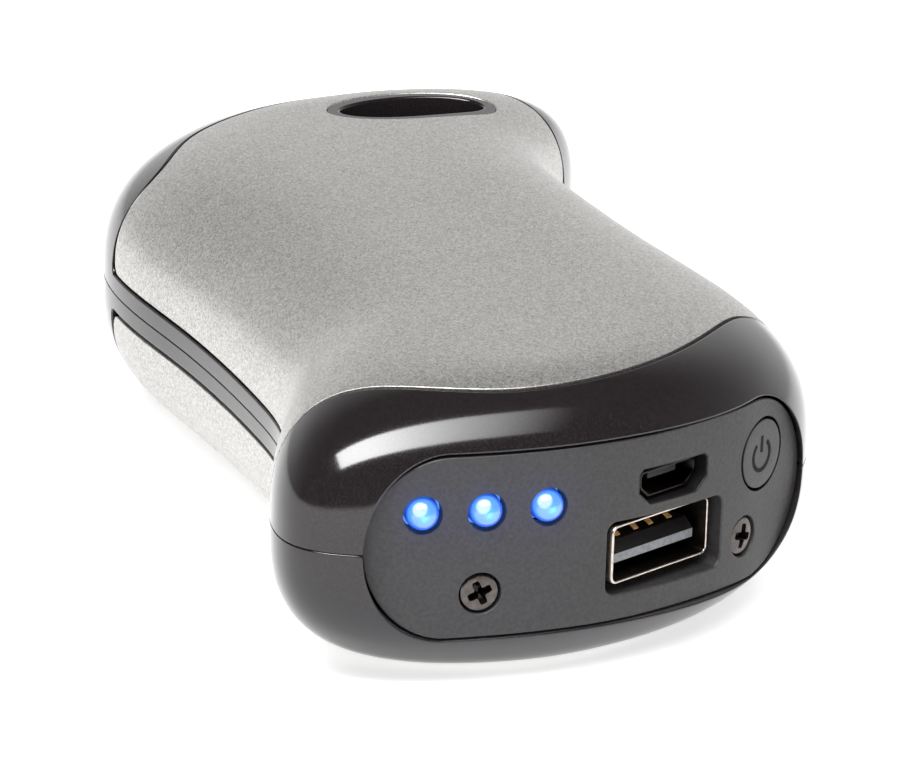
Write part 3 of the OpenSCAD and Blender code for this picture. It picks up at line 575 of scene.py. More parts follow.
def rolled_sheet(loops, cloud, spacing, thickness, radii, shaded=()):
    """A closed sheet of even thickness whose outer edge and holes are rolled over, each by its radius. The
    walls of the shaded loops are its second faces."""
    body = Body()
    starts, sides = [], []
    for k, (loop, radius) in enumerate(zip(loops, radii)):
        left = loop_frame(loop)[1]
        sides.append(left if k == 0 else -left)
        starts.append(loop.copy())
        starts[k][:, 2:5] += radius * sides[k]
    rows, faces = quilt(starts, cloud, spacing)
    face = body.sheet(rows, faces)
    back = body.sheet(rows, faces, depth=thickness, flip=True)
    begin = 0
    for k, (loop, side, radius) in enumerate(zip(loops, sides, radii)):
        n = len(loop)
        first_face = len(body.faces)
        rolled = body.roll(loop[:, 2:5], side, -loop[:, 5:], loop[:, 5:], -side, radius)
        foot = body.ring(loop[:, 2:5] - (thickness - foot_gap) * loop[:, 5:], -side)
        body.bands([face[begin:begin + n]] + rolled + [foot, back[begin:begin + n]])
        if k in shaded:
            body.second_faces += range(first_face, len(body.faces))
        begin += n
    return body


def heat_panel(upper, spacing=1.0):
    """The panel of one half, as the upper one stands."""
    loops = [panel_border(upper, panel_groove, panel_corner), over(lanyard_oval(0.0), upper)]
    return rolled_sheet(loops, cloud_of(upper, spacing), spacing, panel_t, (panel_rim, cutout_rim))


def mixed(tree, factor, first, second, kind="RGBA"):
    """Two colours or two values, mixed by a factor."""
    return node(tree, "ShaderNodeMix", data_type=kind, factor=factor, a=first, b=second).outputs["Result"]


flake, tree, shader = finish("silver_flake_lacquer")
specks = texture(tree, "ShaderNodeTexVoronoi", scale=6800.0)
cast = texture(tree, "ShaderNodeTexNoise", scale=1900.0, detail=3.0, roughness=0.7)["Fac"]
speckled = mixed(tree, specks["Color"], (0.235, 0.23, 0.221, 1), (0.61, 0.6, 0.578, 1))
wire(tree, (0.75, shader.inputs["Metallic"]), (speckled, shader.inputs["Base Color"]),
     (ramp(tree, cast, 0.3, 0.7, 0.3, 0.42), shader.inputs["Roughness"]))
pitted(tree, shader, specks["Distance"], 0.07)
heat_panel(False).piece("back_heat_panel", flake, "silver_panel", ["back_panel"], mirror=True)


# Heater films: amber polyimide with an etched conductor, glued to the inner face of each panel.
# A bead thermistor sits under the front film.
def dress(name, material):
    """Gives a solid of the frame its finish."""
    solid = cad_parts[name]
    solid.data.materials.clear()
    solid.data.materials.append(material)


def reckoned(tree, operation, *terms, kind="ShaderNodeMath"):
    """A sum over sockets or plain values."""
    made = node(tree, kind, operation=operation)
    wire(tree, *zip(terms, made.inputs))
    return made.outputs["Value"]


def patterned(name, first, second, pattern, blend=(0.45, 0.55), rough=(0.3, 0.45), metallic=0.0):
    """Two finishes parted by a pattern: conductors on a film, tracks on a board."""
    made = plastic(name, first, rough, pit=3000.0, bump=0.08)
    tree = made.node_tree
    shader = tree.nodes["Principled BSDF"]
    plain = shader.inputs["Base Color"].links[0].from_socket
    mask = ramp(tree, pattern(tree), *blend)
    wire(tree, (mixed(tree, mask, plain, (*second, 1)), shader.inputs["Base Color"]))
    if metallic:
        wire(tree, (reckoned(tree, "MULTIPLY", mask, metallic), shader.inputs["Metallic"]))
    return made


def film_tracks(tree):
    """Conductor that winds to and fro across the film."""
    return texture(tree, "ShaderNodeTexWave", scale=160.0, distortion=0.6, detail_scale=2.0,
                   bands_direction="Y")["Fac"]


film = patterned("heater_film", (0.55, 0.22, 0.03), (0.75, 0.42, 0.2), film_tracks, rough=(0.25, 0.4),
                 metallic=0.7)
dress("heater_back", film)
dress("heater_front", film)
dress("thermistor", plastic("thermistor_epoxy", (0.015, 0.014, 0.014), (0.25, 0.35)))


# Cells and cradle: two sleeved cells side by side on a ribbed tray, joined by spot-welded strips.
# The sleeve is shrunk PVC, the ends are bare nickel, the tray is natural ABS.
def cell_ends(tree):
    return reckoned(tree, "ABSOLUTE", texture(tree, "ShaderNodeSeparateXYZ", laid_by="Normal")["Y"])


def metal(name, color, rough, lines=2500.0, bump=0.04, metallic=1.0):
    """Bare or plated metal with fine wear."""
    made, tree, shader, height = grained(name, color, rough, lines)
    pitted(tree, shader, height, bump, 0.00003)
    shader.inputs["Metallic"].default_value = metallic
    return made


sleeve = patterned("cell_sleeve", (0.02, 0.17, 0.09), (0.6, 0.58, 0.54), cell_ends, blend=(0.7, 0.8),
                   rough=(0.2, 0.3), metallic=1.0)
dress("cell_left", sleeve)
dress("cell_right", sleeve)
natural_abs = plastic("natural_abs", (0.62, 0.59, 0.5), (0.4, 0.55), pit=2200.0, bump=0.1)
dress("cell_cradle", natural_abs)
tinned = metal("tinned_metal", (0.62, 0.61, 0.58), (0.22, 0.38))
dress("cell_strips", tinned)


# Circuit board: glass-epoxy with green solder mask, chips, a wound coil and two screws into the
# posts of the back housing.
def board_tracks(tree):
    return texture(tree, "ShaderNodeTexBrick", scale=420.0, mortar_size=0.03)["Fac"]


def coil_turns(tree):
    return texture(tree, "ShaderNodeTexWave", scale=900.0, bands_direction="Z")["Fac"]


dress("circuit_board", patterned("solder_mask", (0.012, 0.1, 0.035), (0.02, 0.2, 0.07), board_tracks,
                                 rough=(0.25, 0.35)))
dress("board_chips", plastic("chip_epoxy", (0.02, 0.02, 0.021), (0.45, 0.6), pit=3500.0, bump=0.15))
dress("boost_coil", patterned("wound_coil", (0.03, 0.03, 0.032), (0.35, 0.13, 0.05), coil_turns,
                              rough=(0.35, 0.5)))
dress("board_screws", tinned)

# USB-A socket: a deep-drawn nickel-plated shell with a moulded tongue and four sprung contacts.
# It is soldered under the board and shows through the plate's opening, turned a little to it.
usb_a_w, usb_a_h, usb_a_l, usb_a_wall, usb_a_corner = 13.1, 5.7, 11.0, 0.26, 0.75
usb_a_place, usb_a_turn, usb_a_setback = (8.15, -2.35), 5.6, 0.95
usb_a_end = usb_a_setback + usb_a_l
tongue_w, tongue_t, tongue_z, tongue_nose, tongue_chamfer = 11.0, 1.8, -0.35, 0.85, 0.9
tongue_front, tongue_back = usb_a_setback + 1.0, usb_a_end - 0.45
block_play, block_front, block_back = 0.11, 2.4, 0.4
contact_places, contact_w, contact_t = (-3.5, -1, 1, 3.5), 0.6, 0.12
contact_front, contact_lift, contact_bend, bend_from, bend_run = 2.15, -0.25, 0.85, 1.5, 3.4
plate_front = plate_path[(plate_path[:, 0] > -27) & (plate_path[:, 1] < -14)]


def plate_y(x):
    return np.interp(x, plate_front[:, 0], plate_front[:, 1])


def on_plate(x, z, turn=0.0, reach=2.5):
    """Moves points given as along the plate, into the case and up, to a place on the plate's face."""
    angle = math.atan2(plate_y(x + reach) - plate_y(x - reach), 2 * reach) + math.radians(turn)
    co, si = math.cos(angle), math.sin(angle)
    axes = np.array([[co, si, 0], [-si, co, 0], [0, 0, 1]])
    return lambda points: np.array([x, plate_y(x), z]) + np.asarray(points, float) @ axes


def round_box(width, height, radius, steps=7):
    """Rectangle with round corners, anticlockwise."""
    corners = []
    for k, (sx, sy) in enumerate([(1, 1), (-1, 1), (-1, -1), (1, -1)]):
        b = np.radians(np.linspace(0, 90, steps) + 90 * k)
        corners.append(np.stack([sx * (width / 2 - radius) + radius * np.cos(b),
                                 sy * (height / 2 - radius) + radius * np.sin(b)], -1))
    return np.vstack(corners)


def upright(loop, depth):
    """A loop drawn along and up, set at a depth into the case."""
    return np.stack([loop[:, 0], np.full(len(loop), float(depth)), loop[:, 1]], -1)


def lofted(rings):
    """A closed body over rings of points in order, with a face on the first and the last."""
    body = Body()
    index = [body.ring(r) for r in rings]
    body.bands(index)
    body.faces += [list(index[0]), list(index[-1])]
    return body


def merged(bodies):
    """Several bodies that are one piece, such as the contacts of a socket."""
    whole = Body()
    for body in bodies:
        whole.points += body.points
        whole.normals += body.normals
        whole.second_faces += [len(whole.faces) + k for k in body.second_faces]
        whole.faces += [[v + whole.count for v in f] for f in body.faces]
        whole.count += body.count
    return whole


def box_shell(place, width, height, radius, wall, mouth, back, floor_t=0.3):
    """Drawn shell: outside, rounded rim at the mouth, inside, closed at its back."""
    route = [(0, back), (0, mouth + 0.1), (0.02, mouth + 0.03), (0.07, mouth), (wall - 0.07, mouth),
             (wall - 0.02, mouth + 0.03), (wall, mouth + 0.08), (wall, back - floor_t)]
    return lofted([place(upright(round_box(width - 2 * inset, height - 2 * inset, max(radius - inset, 0.12)),
                                 depth)) for inset, depth in route])


def tongue_section(x):
    """The tongue seen from its side: a flat nose with a long chamfer above it."""
    side = [(tongue_back, low), (tongue_front, low), (tongue_front, low + tongue_nose),
            (tongue_front + tongue_chamfer, high), (tongue_back, high)]
    return in_usb_a([(x, y, z) for y, z in side])


def sideways(path, width):
    """From each point of a path to the left edge of the strip of that width along it."""
    heading = unit(np.gradient(path, axis=0))
    return np.stack([-heading[:, 1], heading[:, 0]], -1) * width / 2


def spring(x, route):
    """Contact spring: a strip that follows its route of depths and heights, rounded over its crown."""
    side = sideways(route, contact_t)
    left, right = x - contact_w / 2, x + contact_w / 2
    return lofted([in_usb_a([(left, y - sy, z - sz), (right, y - sy, z - sz), (right, y + sy, z + sz),
                             (left, y + sy, z + sz)]) for (y, z), (sy, sz) in zip(route, side)])


nickel = metal("nickel_shell", (0.5, 0.44, 0.39), (0.22, 0.32), lines=1500.0)
# Darker nickel for the inside of the USB-A shell: painted shade
nickel_painted_shade = metal("nickel_inside_painted_shade", (0.05, 0.04, 0.034), (0.3, 0.42), lines=1500.0)
# Black insulator plastic of the sockets; on the plate and the button it also serves as painted shade in gaps
# and openings
socket_black_and_painted_shade = plastic("socket_black_and_painted_shade", (0.01, 0.009, 0.009), (0.4, 0.5), pit=2500.0, bump=0.1, specular=0.25)
# Lighter grey for the front face of the USB-A tongue: painted light
tongue_painted_light = plastic("tongue_painted_light", (0.16, 0.165, 0.175), (0.35, 0.5), pit=2500.0, bump=0.1)
gold = metal("contact_gold", (0.9, 0.52, 0.18), (0.35, 0.5), metallic=0.45)

in_usb_a = on_plate(*usb_a_place, usb_a_turn)
shell = box_shell(in_usb_a, usb_a_w, usb_a_h, usb_a_corner, usb_a_wall, usb_a_setback, usb_a_end)
# The inner faces of the shell are the second faces, painted a darker nickel as painted shade
shell.second_faces = [k for k, face in enumerate(shell.faces) if min(face) >= 6 * len(shell.points[0])]
shell.piece("usb_a_socket_shell", nickel, "nickel_shell", ["usb_a_shell"], crease=50, second=nickel_painted_shade)
low, high = tongue_z - tongue_t / 2, tongue_z + tongue_t / 2
tongue = lofted([tongue_section(-tongue_w / 2), tongue_section(tongue_w / 2)])
# The tongue's front face is the second face, a lighter grey than the rest of it as painted light
tongue.second_faces = [1]
tongue.piece("usb_a_socket_tongue", socket_black_and_painted_shade, "socket_insulator", ["usb_a_tongue"], crease=20,
             second=tongue_painted_light)
block = round_box(usb_a_w - 2 * (usb_a_wall + block_play), usb_a_h - 2 * (usb_a_wall + block_play), 0.35)
lofted([in_usb_a(upright(block, usb_a_end - depth)) for depth in (block_front, block_back)]).piece(
    "usb_a_socket_block", socket_black_and_painted_shade, "socket_insulator", crease=30)
depths = np.linspace(contact_front, usb_a_l - block_front - 0.2, 24)
rises = np.sin(math.pi * np.clip((depths - bend_from) / bend_run, 0.1, 0.9))
crown = np.stack([usb_a_setback + depths, high + contact_lift + contact_bend * rises], -1)
merged([spring(x, crown) for x in contact_places]).piece(
    "usb_a_socket_contacts", gold, "gold_contact", ["usb_a_contacts"], crease=30)

# Micro-USB socket: a small drawn shell with two slanted lower corners, a black tongue and five
# contacts under it. It stands on the board and shows through its own opening.
micro_usb_w, micro_usb_h, micro_usb_l, micro_usb_wall = 7.5, 2.6, 5.6, 0.26
micro_usb_place, micro_usb_turn, micro_usb_setback = (8.6, 3.7), 4.8, 0.9
micro_pitch = 0.65
micro_end = micro_usb_setback + micro_usb_l
# The micro-USB shell's metal is near black, far darker than the USB-A shell's nickel
near_black_shell_metal = metal("micro_shell_metal", (0.022, 0.019, 0.018), (0.22, 0.36), lines=1500.0)
in_micro_usb = on_plate(*micro_usb_place, micro_usb_turn)


def micro_part(loop, front, back):
    """A block of the socket, from front behind its mouth to back before its end."""
    depths = (micro_usb_setback + front, micro_end - back)
    return lofted([in_micro_usb(upright(loop, depth)) for depth in depths])


def slanted_mouth(grow, corner=0.25):
    """Outline of the micro-USB mouth, anticlockwise from its upper right."""
    w, h = micro_usb_w / 2 + grow, micro_usb_h / 2 + grow
    right = [(w - 1.25, -h), (w - 1.0, -h + 0.08), (w - 0.1, -h + 0.85), (w, -h + 1.1), (w, h - corner),
             (w - corner, h)]
    left = [(-x, z) for x, z in right[::-1]]
    return np.array(right[4:] + left + right[:4])


m, wall = micro_usb_setback, micro_usb_wall
route = [(0, micro_end), (0, m + 0.08), (0.06, m), (wall - 0.06, m), (wall, m + 0.08),
         (wall, micro_end - 0.3)]
lofted([in_micro_usb(upright(slanted_mouth(-inset), depth)) for inset, depth in route]).piece(
    "micro_usb_socket_shell", near_black_shell_metal, "nickel_shell", ["micro_usb_shell"], crease=40)
micro_part(round_box(3.8, 0.6, 0.15) + [0, 0.4], 0.8, 1.2).piece(
    "micro_usb_socket_tongue", socket_black_and_painted_shade, "dark_component", ["micro_usb_tongue"], crease=30)
micro_part(round_box(4.8, 1.9, 0.2) + [0, 0.05], micro_usb_l - 1.3, 0.35).piece(
    "micro_usb_socket_block", socket_black_and_painted_shade, "dark_component", crease=30)
micro_contact = round_box(0.3, 0.14, 0.04, 3) + [0, 0.02]
merged([micro_part(micro_contact + [micro_pitch * k, 0], 1.1, 1.5) for k in range(-2, 3)]).piece(
    "micro_usb_socket_contacts", gold, "gold_contact", ["micro_usb_contacts"], crease=30)

# Charging lamps: three round light-emitting diodes cast in clear epoxy, each with a flange at its
# back and a domed tip that stands proud of the plate; their legs turn down onto the board.
lamp_r, lamp_flange_r, lamp_flange_t, lamp_neck_r = 1.7, 2.05, 1, 1.55
lamp_back, lamp_step, dome_foot = 3.9, 1.6, 0.6
lamp_z, spill_ahead = 3.3, 0.15
lamp_places = [(x, lamp_z) for x in lamp_x]


def turned(place, profile, steps=48):
    """Rings about a place's own axis; the profile gives radius and depth into the case."""
    return [place(upright(r * circle(steps), depth)) for r, depth in profile]


def toward(tree, directions, aim):
    """How far directions lean towards an aim."""
    return reckoned(tree, "DOT_PRODUCT", directions, aim, kind="ShaderNodeVectorMath")


lit, tree, shader, height = grained("lit_lamp", (0.02, 0.08, 0.5), (0.05, 0.09))
glow = node(tree, "ShaderNodeValToRGB", fac=node(tree, "ShaderNodeLayerWeight", blend=0.5).outputs["Facing"])
stops = glow.color_ramp.elements
stops[0].position, stops[1].position = 0.1, 0.9
stops.new(0.42)
stops.new(0.5)
blues = ((0.13, 0.36, 0.86), (0.09, 0.27, 0.78), (0.03, 0.14, 0.72), (0.012, 0.05, 0.5))
for stop, blue in zip(stops, blues):
    stop.color = (*blue, 1)
cup = texture(tree, "ShaderNodeTexNoise", scale=900.0, detail=1.0)["Fac"]
# A painted highlight: a pale spot towards the dome's upper left, set by the direction of its normals
painted_highlight = ramp(tree, toward(tree, node(tree, "ShaderNodeTexCoord").outputs["Normal"], (-0.36, -0.76, 0.54)),
             0.86, 0.95, curve="SMOOTHSTEP")
glow_and_painted_highlight = mixed(tree, painted_highlight, glow.outputs["Color"], (0.72, 0.9, 1.0, 1))
wire(tree, (glow_and_painted_highlight, shader.inputs["Emission Color"]), (1.0, shader.inputs["Coat Weight"]),
     (ramp(tree, cup, 0.0, 1.0, 0.8, 1.2), shader.inputs["Emission Strength"]),
     (0.03, shader.inputs["Coat Roughness"]))

dome = [(lamp_neck_r * math.cos(a), dome_foot - (lamp_proud + dome_foot) * math.sin(a))
        for a in np.radians(np.linspace(0, 88, 20))]
profile = [(lamp_flange_r, lamp_back), (lamp_flange_r, lamp_back - lamp_flange_t),
           (lamp_r, lamp_back - lamp_flange_t), (lamp_r, lamp_back - lamp_step), *dome]
for side, spot in zip(("left", "middle", "right"), lamp_places):
    lofted(turned(on_plate(*spot), profile)).piece(
        "charging_lamp_" + side, lit, "lamp_lens", ["led_" + side], crease=40)
dress("led_leads", tinned)
for spot in lamp_places:
    data = bpy.data.lights.new("lamp_spill", "POINT")
    data.energy, data.shadow_soft_size, data.color = 9e-4, 0.0006, (0.04, 0.12, 1.0)
    spill = placed("lamp_spill", data)
    spill.location = ((on_plate(*spot)([(0, -lamp_proud - spill_ahead, 0)])[0] - middle) / 1000).tolist()
    spill.visible_camera = spill.visible_glossy = False

# Power button: a flat cap that floats in the plate on its flange and presses a switch through a stem.
# A dark power mark, a ring broken by a bar, is printed on it.
button_place, button_d, button_edge = (19.2, 3.1), 6.6, 0.1
button_flange, button_flange_t, button_rim = 2.15, 0.6, 0.6
stem_r, stem_end = 1.2, 3.4
mark_r, mark_w, mark_drop, mark_opening = 1.45, 0.42, 0.15, 38
bar_foot, bar_top = 0.15, 1.75
button_grey = plastic("button_grey", (0.03, 0.0285, 0.029), (0.4, 0.5), pit=3200.0, bump=0.18, specular=0.42)
dress("switch_body", plastic("switch_nylon", (0.03, 0.03, 0.03), (0.4, 0.55), pit=2600.0, bump=0.12))
dress("switch_plunger", natural_abs)
on_button = on_plate(*button_place)
r, flange_r, flange_back = button_d / 2, button_d / 2 + button_rim, button_flange + button_flange_t
face_edge = [(r - button_edge + button_edge * math.cos(a), button_edge - button_edge * math.sin(a))
             for a in np.radians(np.linspace(0, 90, 6))]
profile = [(stem_r, stem_end), (stem_r, flange_back), (flange_r, flange_back), (flange_r, button_flange),
           (r, button_flange), *face_edge, (r * 0.6, 0.01), (r * 0.2, 0.02)]
cap = lofted(turned(on_button, profile, 72))
# The cap's side wall, down in the gap round it, takes the black as painted shade
cap.second_faces = list(range(4 * 72, 7 * 72))
cap.piece("power_button_cap", button_grey, "plate_plastic", ["power_button"], body="button", crease=40,
          second=socket_black_and_painted_shade)


def ribbon(path, front=-0.01, back=0.1):
    """Flat mark that follows a path drawn along and up on the button."""
    side = sideways(path, mark_w)
    return lofted([on_button([(x, depth, z) for (x, z), depth in
                              ((p + s, front), (p - s, front), (p - s, back), (p + s, back))])
                   for p, s in zip(path, side)])


b = np.radians(np.linspace(mark_opening, 360 - mark_opening, 40))
ring_path = np.stack([mark_r * np.sin(b), -mark_drop + mark_r * np.cos(b)], -1)
bar_path = np.array([(0, bar_foot), (0, 0.9), (0, bar_top)])
ink = plastic("mark_ink", (0.004, 0.004, 0.004), (0.5, 0.6), specular=0.08)
merged([ribbon(ring_path), ribbon(bar_path)]).piece(
    "power_mark", ink, "plate_plastic", body="button", crease=40)


# Leads: stranded wire in PVC between the cells and the board, and between the films and the board.
# The red and the black one of the cells run side by side.
def lead_colours(tree):
    return texture(tree, "ShaderNodeSeparateXYZ")["X"]


dress("battery_leads", patterned("battery_lead_pvc", (0.45, 0.02, 0.015), (0.015, 0.015, 0.015), lead_colours,
                                 (-0.0045, -0.004), (0.3, 0.42)))
dress("heater_leads", plastic("heater_lead_pvc", (0.6, 0.56, 0.45), (0.35, 0.48), pit=2400.0, bump=0.08))

# Front housing and its heat panel: the upper half, moulded in the same black ABS as the lower one. It
# closes the case over everything inside and is screwed to the lower half from below.
housing(True).piece("front_housing_shell", black_abs, "black_plastic", ["front_housing"], second=recess_grain_painted_sheen)
heat_panel(True).piece("front_heat_panel", flake, "silver_panel", ["front_panel"])

# End plate: a thin moulded plate with a fine spark-eroded texture that follows the port end.
# It drops into the recess of both housings and is held by two screws.
lamp_hole_d, button_hole_d, screw_hole_d = 3.65, button_d + 0.52, 4.0
usb_a_hole_w, usb_a_hole_h, usb_a_hole_drop = 14.1, 7.1, 0.35
micro_hole_w, micro_hole_h = 8.3, 3.4
screw_places = [(-10.8, -4.5), (17.2, -4.3)]
usb_a_hole_corner, micro_hole_corner, micro_hole_slant = 1.0, 0.4, (1.3, 1.2)
plate_rim, lamp_rim, button_hole_rim, screw_rim, usb_a_rim, micro_rim = 0.15, 0.08, 0.05, 0.12, 0.2, 0.15
usb_a_collar, micro_collar, plate_grid = 3.3, 2.6, 0.8
plate_matt = plastic("plate_matt", (0.027, 0.0255, 0.026), (0.44, 0.56), pit=2600.0, bump=0.95, specular=0.42)
path_length = np.concatenate([[0], np.cumsum(np.hypot(*np.diff(plate_path, axis=0).T))])


def along_plate(x):
    return np.interp(x, plate_path[:, 0], path_length)


def plate_rows(sz):
    """Rows of flat plan, point and normal on the plate's face, from length along it and height."""
    def at(s):
        return np.stack([np.interp(s, path_length, plate_path[:, k]) for k in (0, 1)], -1)
    s = sz[:, 0]
    normal = plan_normal(at(s + 0.05) - at(s - 0.05))
    return np.concatenate([sz, at(s), sz[:, 1:], normal, np.zeros((len(sz), 1))], -1)


def round_hole(place, diameter, count=40):
    """Edge of a round hole on the plate's face."""
    return plate_rows([along_plate(place[0]), place[1]] + diameter / 2 * circle(count))


def finer(loop, step):
    """Adds points along the straight runs of a loop."""
    out = []
    for p, q in zip(loop, np.roll(loop, -1, 0)):
        n = max(1, int(np.linalg.norm(q - p) / step))
        out += [p + (q - p) * k / n for k in range(n)]
    return np.array(out)


def collar(opening, reach, wall=0.45):
    """Moulded rim behind an opening, which shuts off the gap round the socket."""
    outward = plan_normal(np.roll(opening, -1, 0) - np.roll(opening, 1, 0))
    body = Body()
    index = []
    for grow, depth in ((0, plate_t - 0.1), (0, reach), (wall, reach), (wall, plate_t - 0.1)):
        rows = plate_rows(opening + grow * outward)
        index.append(body.ring(rows[:, 2:5] - depth * rows[:, 5:]))
    body.bands(index + index[:1])
    return body


upper_arc = plate_arc(0.0, 0.0)
plate_outline = np.vstack([upper_arc[::-1], (upper_arc * [1, -1])[1:-1]])
plate_outline[:, 0] = along_plate(plate_outline[:, 0])
usb_opening = finer(round_box(usb_a_hole_w, usb_a_hole_h, usb_a_hole_corner), 0.6)
usb_opening = usb_opening + [along_plate(usb_a_place[0]), usb_a_place[1] - usb_a_hole_drop]
w, h, c = micro_hole_w / 2, micro_hole_h / 2, micro_hole_corner
across, rise = micro_hole_slant
micro_opening = finer(np.array([(w, h - c), (w - c, h), (-w + c, h), (-w, h - c), (-w, -h + rise),
                                (-w + across, -h), (w - across, -h), (w, -h + rise)]), 0.5)
micro_opening = micro_opening + [along_plate(micro_usb_place[0]), micro_usb_place[1]]
edges = [(plate_rows(finer(plate_outline, 0.6)), plate_rim)]
edges += [(round_hole(spot, lamp_hole_d), lamp_rim) for spot in lamp_places]
edges += [(round_hole(button_place, button_hole_d, 64), button_hole_rim)]
edges += [(round_hole(spot, screw_hole_d), screw_rim) for spot in screw_places]
edges += [(plate_rows(usb_opening), usb_a_rim), (plate_rows(micro_opening), micro_rim)]
s, z = np.meshgrid(np.arange(0, path_length[-1], plate_grid), np.arange(-9, 9, plate_grid))
plate_cloud = plate_rows(np.stack([s.ravel(), z.ravel()], -1))
# The walls of the button's hole, the fourth after the outline, and of the last opening take smooth black as
# painted shade
plate = rolled_sheet([rows for rows, _ in edges], plate_cloud, plate_grid, plate_t,
                     [radius for _, radius in edges], shaded=(4, len(edges) - 1))
plate_collars = [collar(usb_opening, usb_a_collar), collar(micro_opening, micro_collar)]
# The micro-USB collar behind its opening is black as painted shade
plate_collars[1].second_faces = list(range(len(plate_collars[1].faces)))
merged(plate_collars).piece("port_end_plate_collars", plate_matt, "plate_plastic", crease=40,
                            second=socket_black_and_painted_shade)
plate.piece("port_end_plate", plate_matt, "plate_plastic", ["end_plate"], second=socket_black_and_painted_shade)

# Screws: two steel screws with dark plating and a cross recess hold the plate, sunk in its holes;
# three more, of tinned steel, hold the halves together from below.
screw_head_r, screw_shank_r, screw_sunk, screw_length = 1.85, 0.9, 0.15, 6.0
head_under, head_bevel, dish, tip_r, tip_l = 0.85, 0.12, 0.22, 0.3, 0.6
recess_reach, recess_w, recess_neck = 1.22, 0.74, 0.46
dark_steel = metal("dark_plated_steel", (0.085, 0.075, 0.07), (0.18, 0.28), lines=1200.0, bump=0.15)
# The cross recess gets a darker metal than the head: painted shade in the recess
recess_painted_shade = metal("screw_recess_painted_shade", (0.03, 0.026, 0.024), (0.3, 0.45), lines=1200.0)


def cross(reach, width, neck):
    """Outline of a cross recess with rounded ends and flared roots, anticlockwise."""
    arm = [(width / 2, neck), (width / 2, reach * 0.75), (width / 2 * 0.72, reach * 0.96),
           (-width / 2 * 0.72, reach * 0.96), (-width / 2, reach * 0.75), (-width / 2, neck)]
    out = []
    for k in range(4):
        co, si = math.cos(k * math.pi / 2), math.sin(k * math.pi / 2)
        out += [(x * co - y * si, x * si + y * co) for x, y in arm]
    return np.array(out)


def flat_rows(loop):
    return np.concatenate([loop, np.zeros((len(loop), 6))], -1)


def cross_screw(spot, turn, fine=0.17):
    """A cross-head screw sunk in the plate, with its cross turned by some degrees."""
    place = on_plate(*spot)
    co, si = math.cos(math.radians(turn)), math.sin(math.radians(turn))
    spin = np.array([[co, si], [-si, co]])

    def set_in(loop, depth, bowl=0.0):
        points = upright(loop @ spin, depth)
        points[:, 1] += bowl * (loop ** 2).sum(1) / screw_head_r ** 2
        return place(points)

    # Dished head, parted from the recess by the outline of the cross
    mouth = cross(recess_reach, recess_w, recess_neck)
    across = np.arange(-1.7, 1.7, fine)
    grid = np.stack(np.meshgrid(across, across), -1).reshape(-1, 2)
    rim = circle(48) * (screw_head_r - head_bevel)
    rows, faces = quilt([flat_rows(rim), flat_rows(mouth)], flat_rows(grid), fine)
    body = Body()
    face = body.ring(set_in(rows[:, :2], screw_sunk - 0.1, dish))
    body.faces += [list(face[f]) for f in faces]
    profile = [(screw_head_r - 0.03, 0.16), (screw_head_r, 0.25), (screw_head_r, head_under),
               (screw_shank_r, head_under), (screw_shank_r, screw_length - tip_l - screw_sunk),
               (tip_r, screw_length - screw_sunk)]
    side = [body.ring(p) for p in turned(place, [(r, screw_sunk + depth) for r, depth in profile])]
    body.bands([face[:len(rim)]] + side)
    body.faces.append(list(side[-1]))
    deep = [body.ring(set_in(mouth * share, screw_sunk + depth)) for share, depth in ((0.8, 0.9), (0.3, 1.3))]
    body.bands([face[len(rim):len(rim) + len(mouth)]] + deep)
    body.faces.append(list(deep[-1]))
    # The walls and floor of the cross recess are the second faces, which take the painted shade
    body.second_faces = list(range(len(body.faces) - 2 * len(mouth) - 1, len(body.faces)))
    return body


merged([cross_screw(screw_places[0], 24), cross_screw(screw_places[1], -14)]).piece(
    "plate_cross_screws", dark_steel, "dark_steel", ["plate_screws"], crease=32, second=recess_painted_shade)
dress("housing_screws", tinned)

# Floor and backdrop: a white studio sweep under the part. It shows white to the camera and in gloss,
# and keeps the part's shadow.
reach = 3
floor_mesh = bpy.data.meshes.new("studio_floor")
floor_mesh.from_pydata([(-reach, -reach, 0), (reach, -reach, 0), (reach, reach, 0), (-reach, reach, 0)], [],
                       [(0, 1, 2, 3)])
floor = placed("studio_floor", floor_mesh)
white, tree, shader = finish("white_sweep")
floor_mesh.materials.append(white)
rays = node(tree, "ShaderNodeLightPath").outputs
seen = reckoned(tree, "MAXIMUM", rays["Is Camera Ray"], rays["Is Glossy Ray"])
seen_too = reckoned(tree, "MAXIMUM", seen, rays["Is Transmission Ray"])
wire(tree, ((0.86, 0.86, 0.86, 1), shader.inputs["Base Color"]), (0.9, shader.inputs["Roughness"]),
     ((1, 1, 1, 1), shader.inputs["Emission Color"]),
     (reckoned(tree, "MULTIPLY", seen_too, 0.6), shader.inputs["Emission Strength"]))

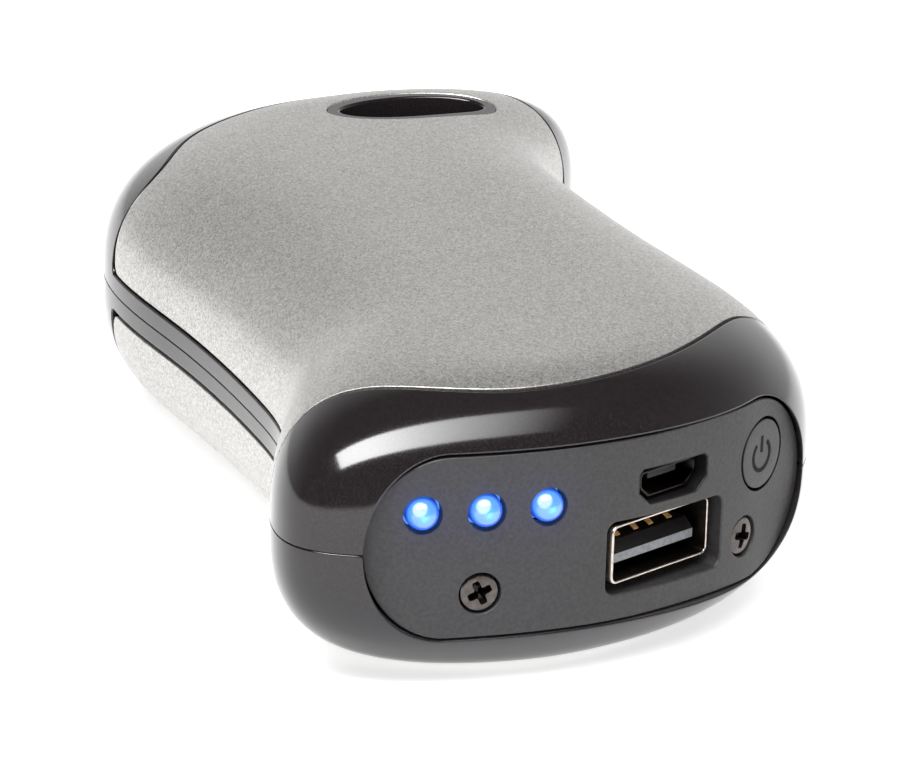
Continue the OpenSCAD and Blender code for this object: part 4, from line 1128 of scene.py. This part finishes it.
# Soft light from above; in gloss a white backdrop stands behind the part and gets dark overhead
world = bpy.data.worlds.new("studio")
bpy.context.scene.world = world
world.use_nodes = True
tree = world.node_tree
rays = node(tree, "ShaderNodeLightPath").outputs
ray_heading = node(tree, "ShaderNodeTexCoord").outputs["Generated"]
level = ramp(tree, toward(tree, ray_heading, (0.3, 0.3, 0.9)), -0.3, 0.7, 0.06, 0.6)
backdrop = ramp(tree, toward(tree, ray_heading, (0.35, 0.9, 0.0)), -0.2, 0.9, 0.08, 1.0)
rise = node(tree, "ShaderNodeSeparateXYZ", vector=ray_heading).outputs["Z"]
sweep = reckoned(tree, "MULTIPLY", backdrop, ramp(tree, rise, 0.2, 0.75, 1.0, 0.06))
mirrored = reckoned(tree, "MAXIMUM", rays["Is Glossy Ray"], rays["Is Transmission Ray"])
strength = reckoned(tree, "MAXIMUM", mixed(tree, mirrored, level, sweep, "FLOAT"), rays["Is Camera Ray"])
sky = tree.nodes["Background"]
wire(tree, ((1, 1, 1, 1), sky.inputs["Color"]), (strength, sky.inputs["Strength"]))


# Lights and camera: soft boxes above, at the left and in front, and a long lens that looks from the
# left of the port end, as in the photograph.
def soft_light(name, place, aim, size, power):
    """A soft box of the given width and height, turned to its aim."""
    data = bpy.data.lights.new(name, "AREA")
    data.shape, data.size, data.size_y, data.energy = "RECTANGLE", size[0], size[1], power
    lamp = placed(name, data)
    lamp.location = place
    lamp.rotation_euler = (Vector(aim) - Vector(place)).to_track_quat("-Z", "Y").to_euler()
    return lamp


for name, place, size, power in (("key_box", (-0.16, -0.32, 0.58), (0.75, 0.3), 6.0),
                                 ("left_box", (-0.65, 0.12, 0.12), (0.7, 0.2), 1.2),
                                 ("front_box", (0.25, -0.9, 0.25), (0.3, 0.2), 2.5)):
    soft_light(name, place, (0, -0.02, 0), size, power).visible_glossy = False
# The gloss of the black case mirrors a soft box over the front, which dims towards its right end
window = soft_light("window_box", (-0.09, -0.28, 0.58), (-0.09, -0.03, 0), (0.9, 0.34), 22.0)
window.visible_diffuse = False
window.data.use_nodes = True
tree = window.data.node_tree
across = node(tree, "ShaderNodeSeparateXYZ", vector=node(tree, "ShaderNodeNewGeometry").outputs["Parametric"])
dimmed = ramp(tree, across.outputs["X"], 0.3, 1.0, 1.0, 0.0, curve="SMOOTHSTEP")
wire(tree, (dimmed, tree.nodes["Emission"].inputs["Strength"]))

camera_data = bpy.data.cameras.new("photo_camera")
camera_data.lens, camera_data.sensor_width = 298.7, 36
camera_data.clip_start, camera_data.clip_end = 0.01, 20
camera = placed("photo_camera", camera_data)
camera.location = Vector((-0.19115, -0.6589, 0.2509))
view = Vector((-0.0012, -0.00834, 0.0142)) - camera.location
roll = Matrix.Rotation(math.radians(2.028), 3, "Z")
camera.rotation_euler = (view.to_track_quat("-Z", "Y").to_matrix() @ roll).to_euler()
bpy.context.scene.camera = camera
bpy.context.scene.view_settings.view_transform = "Standard"
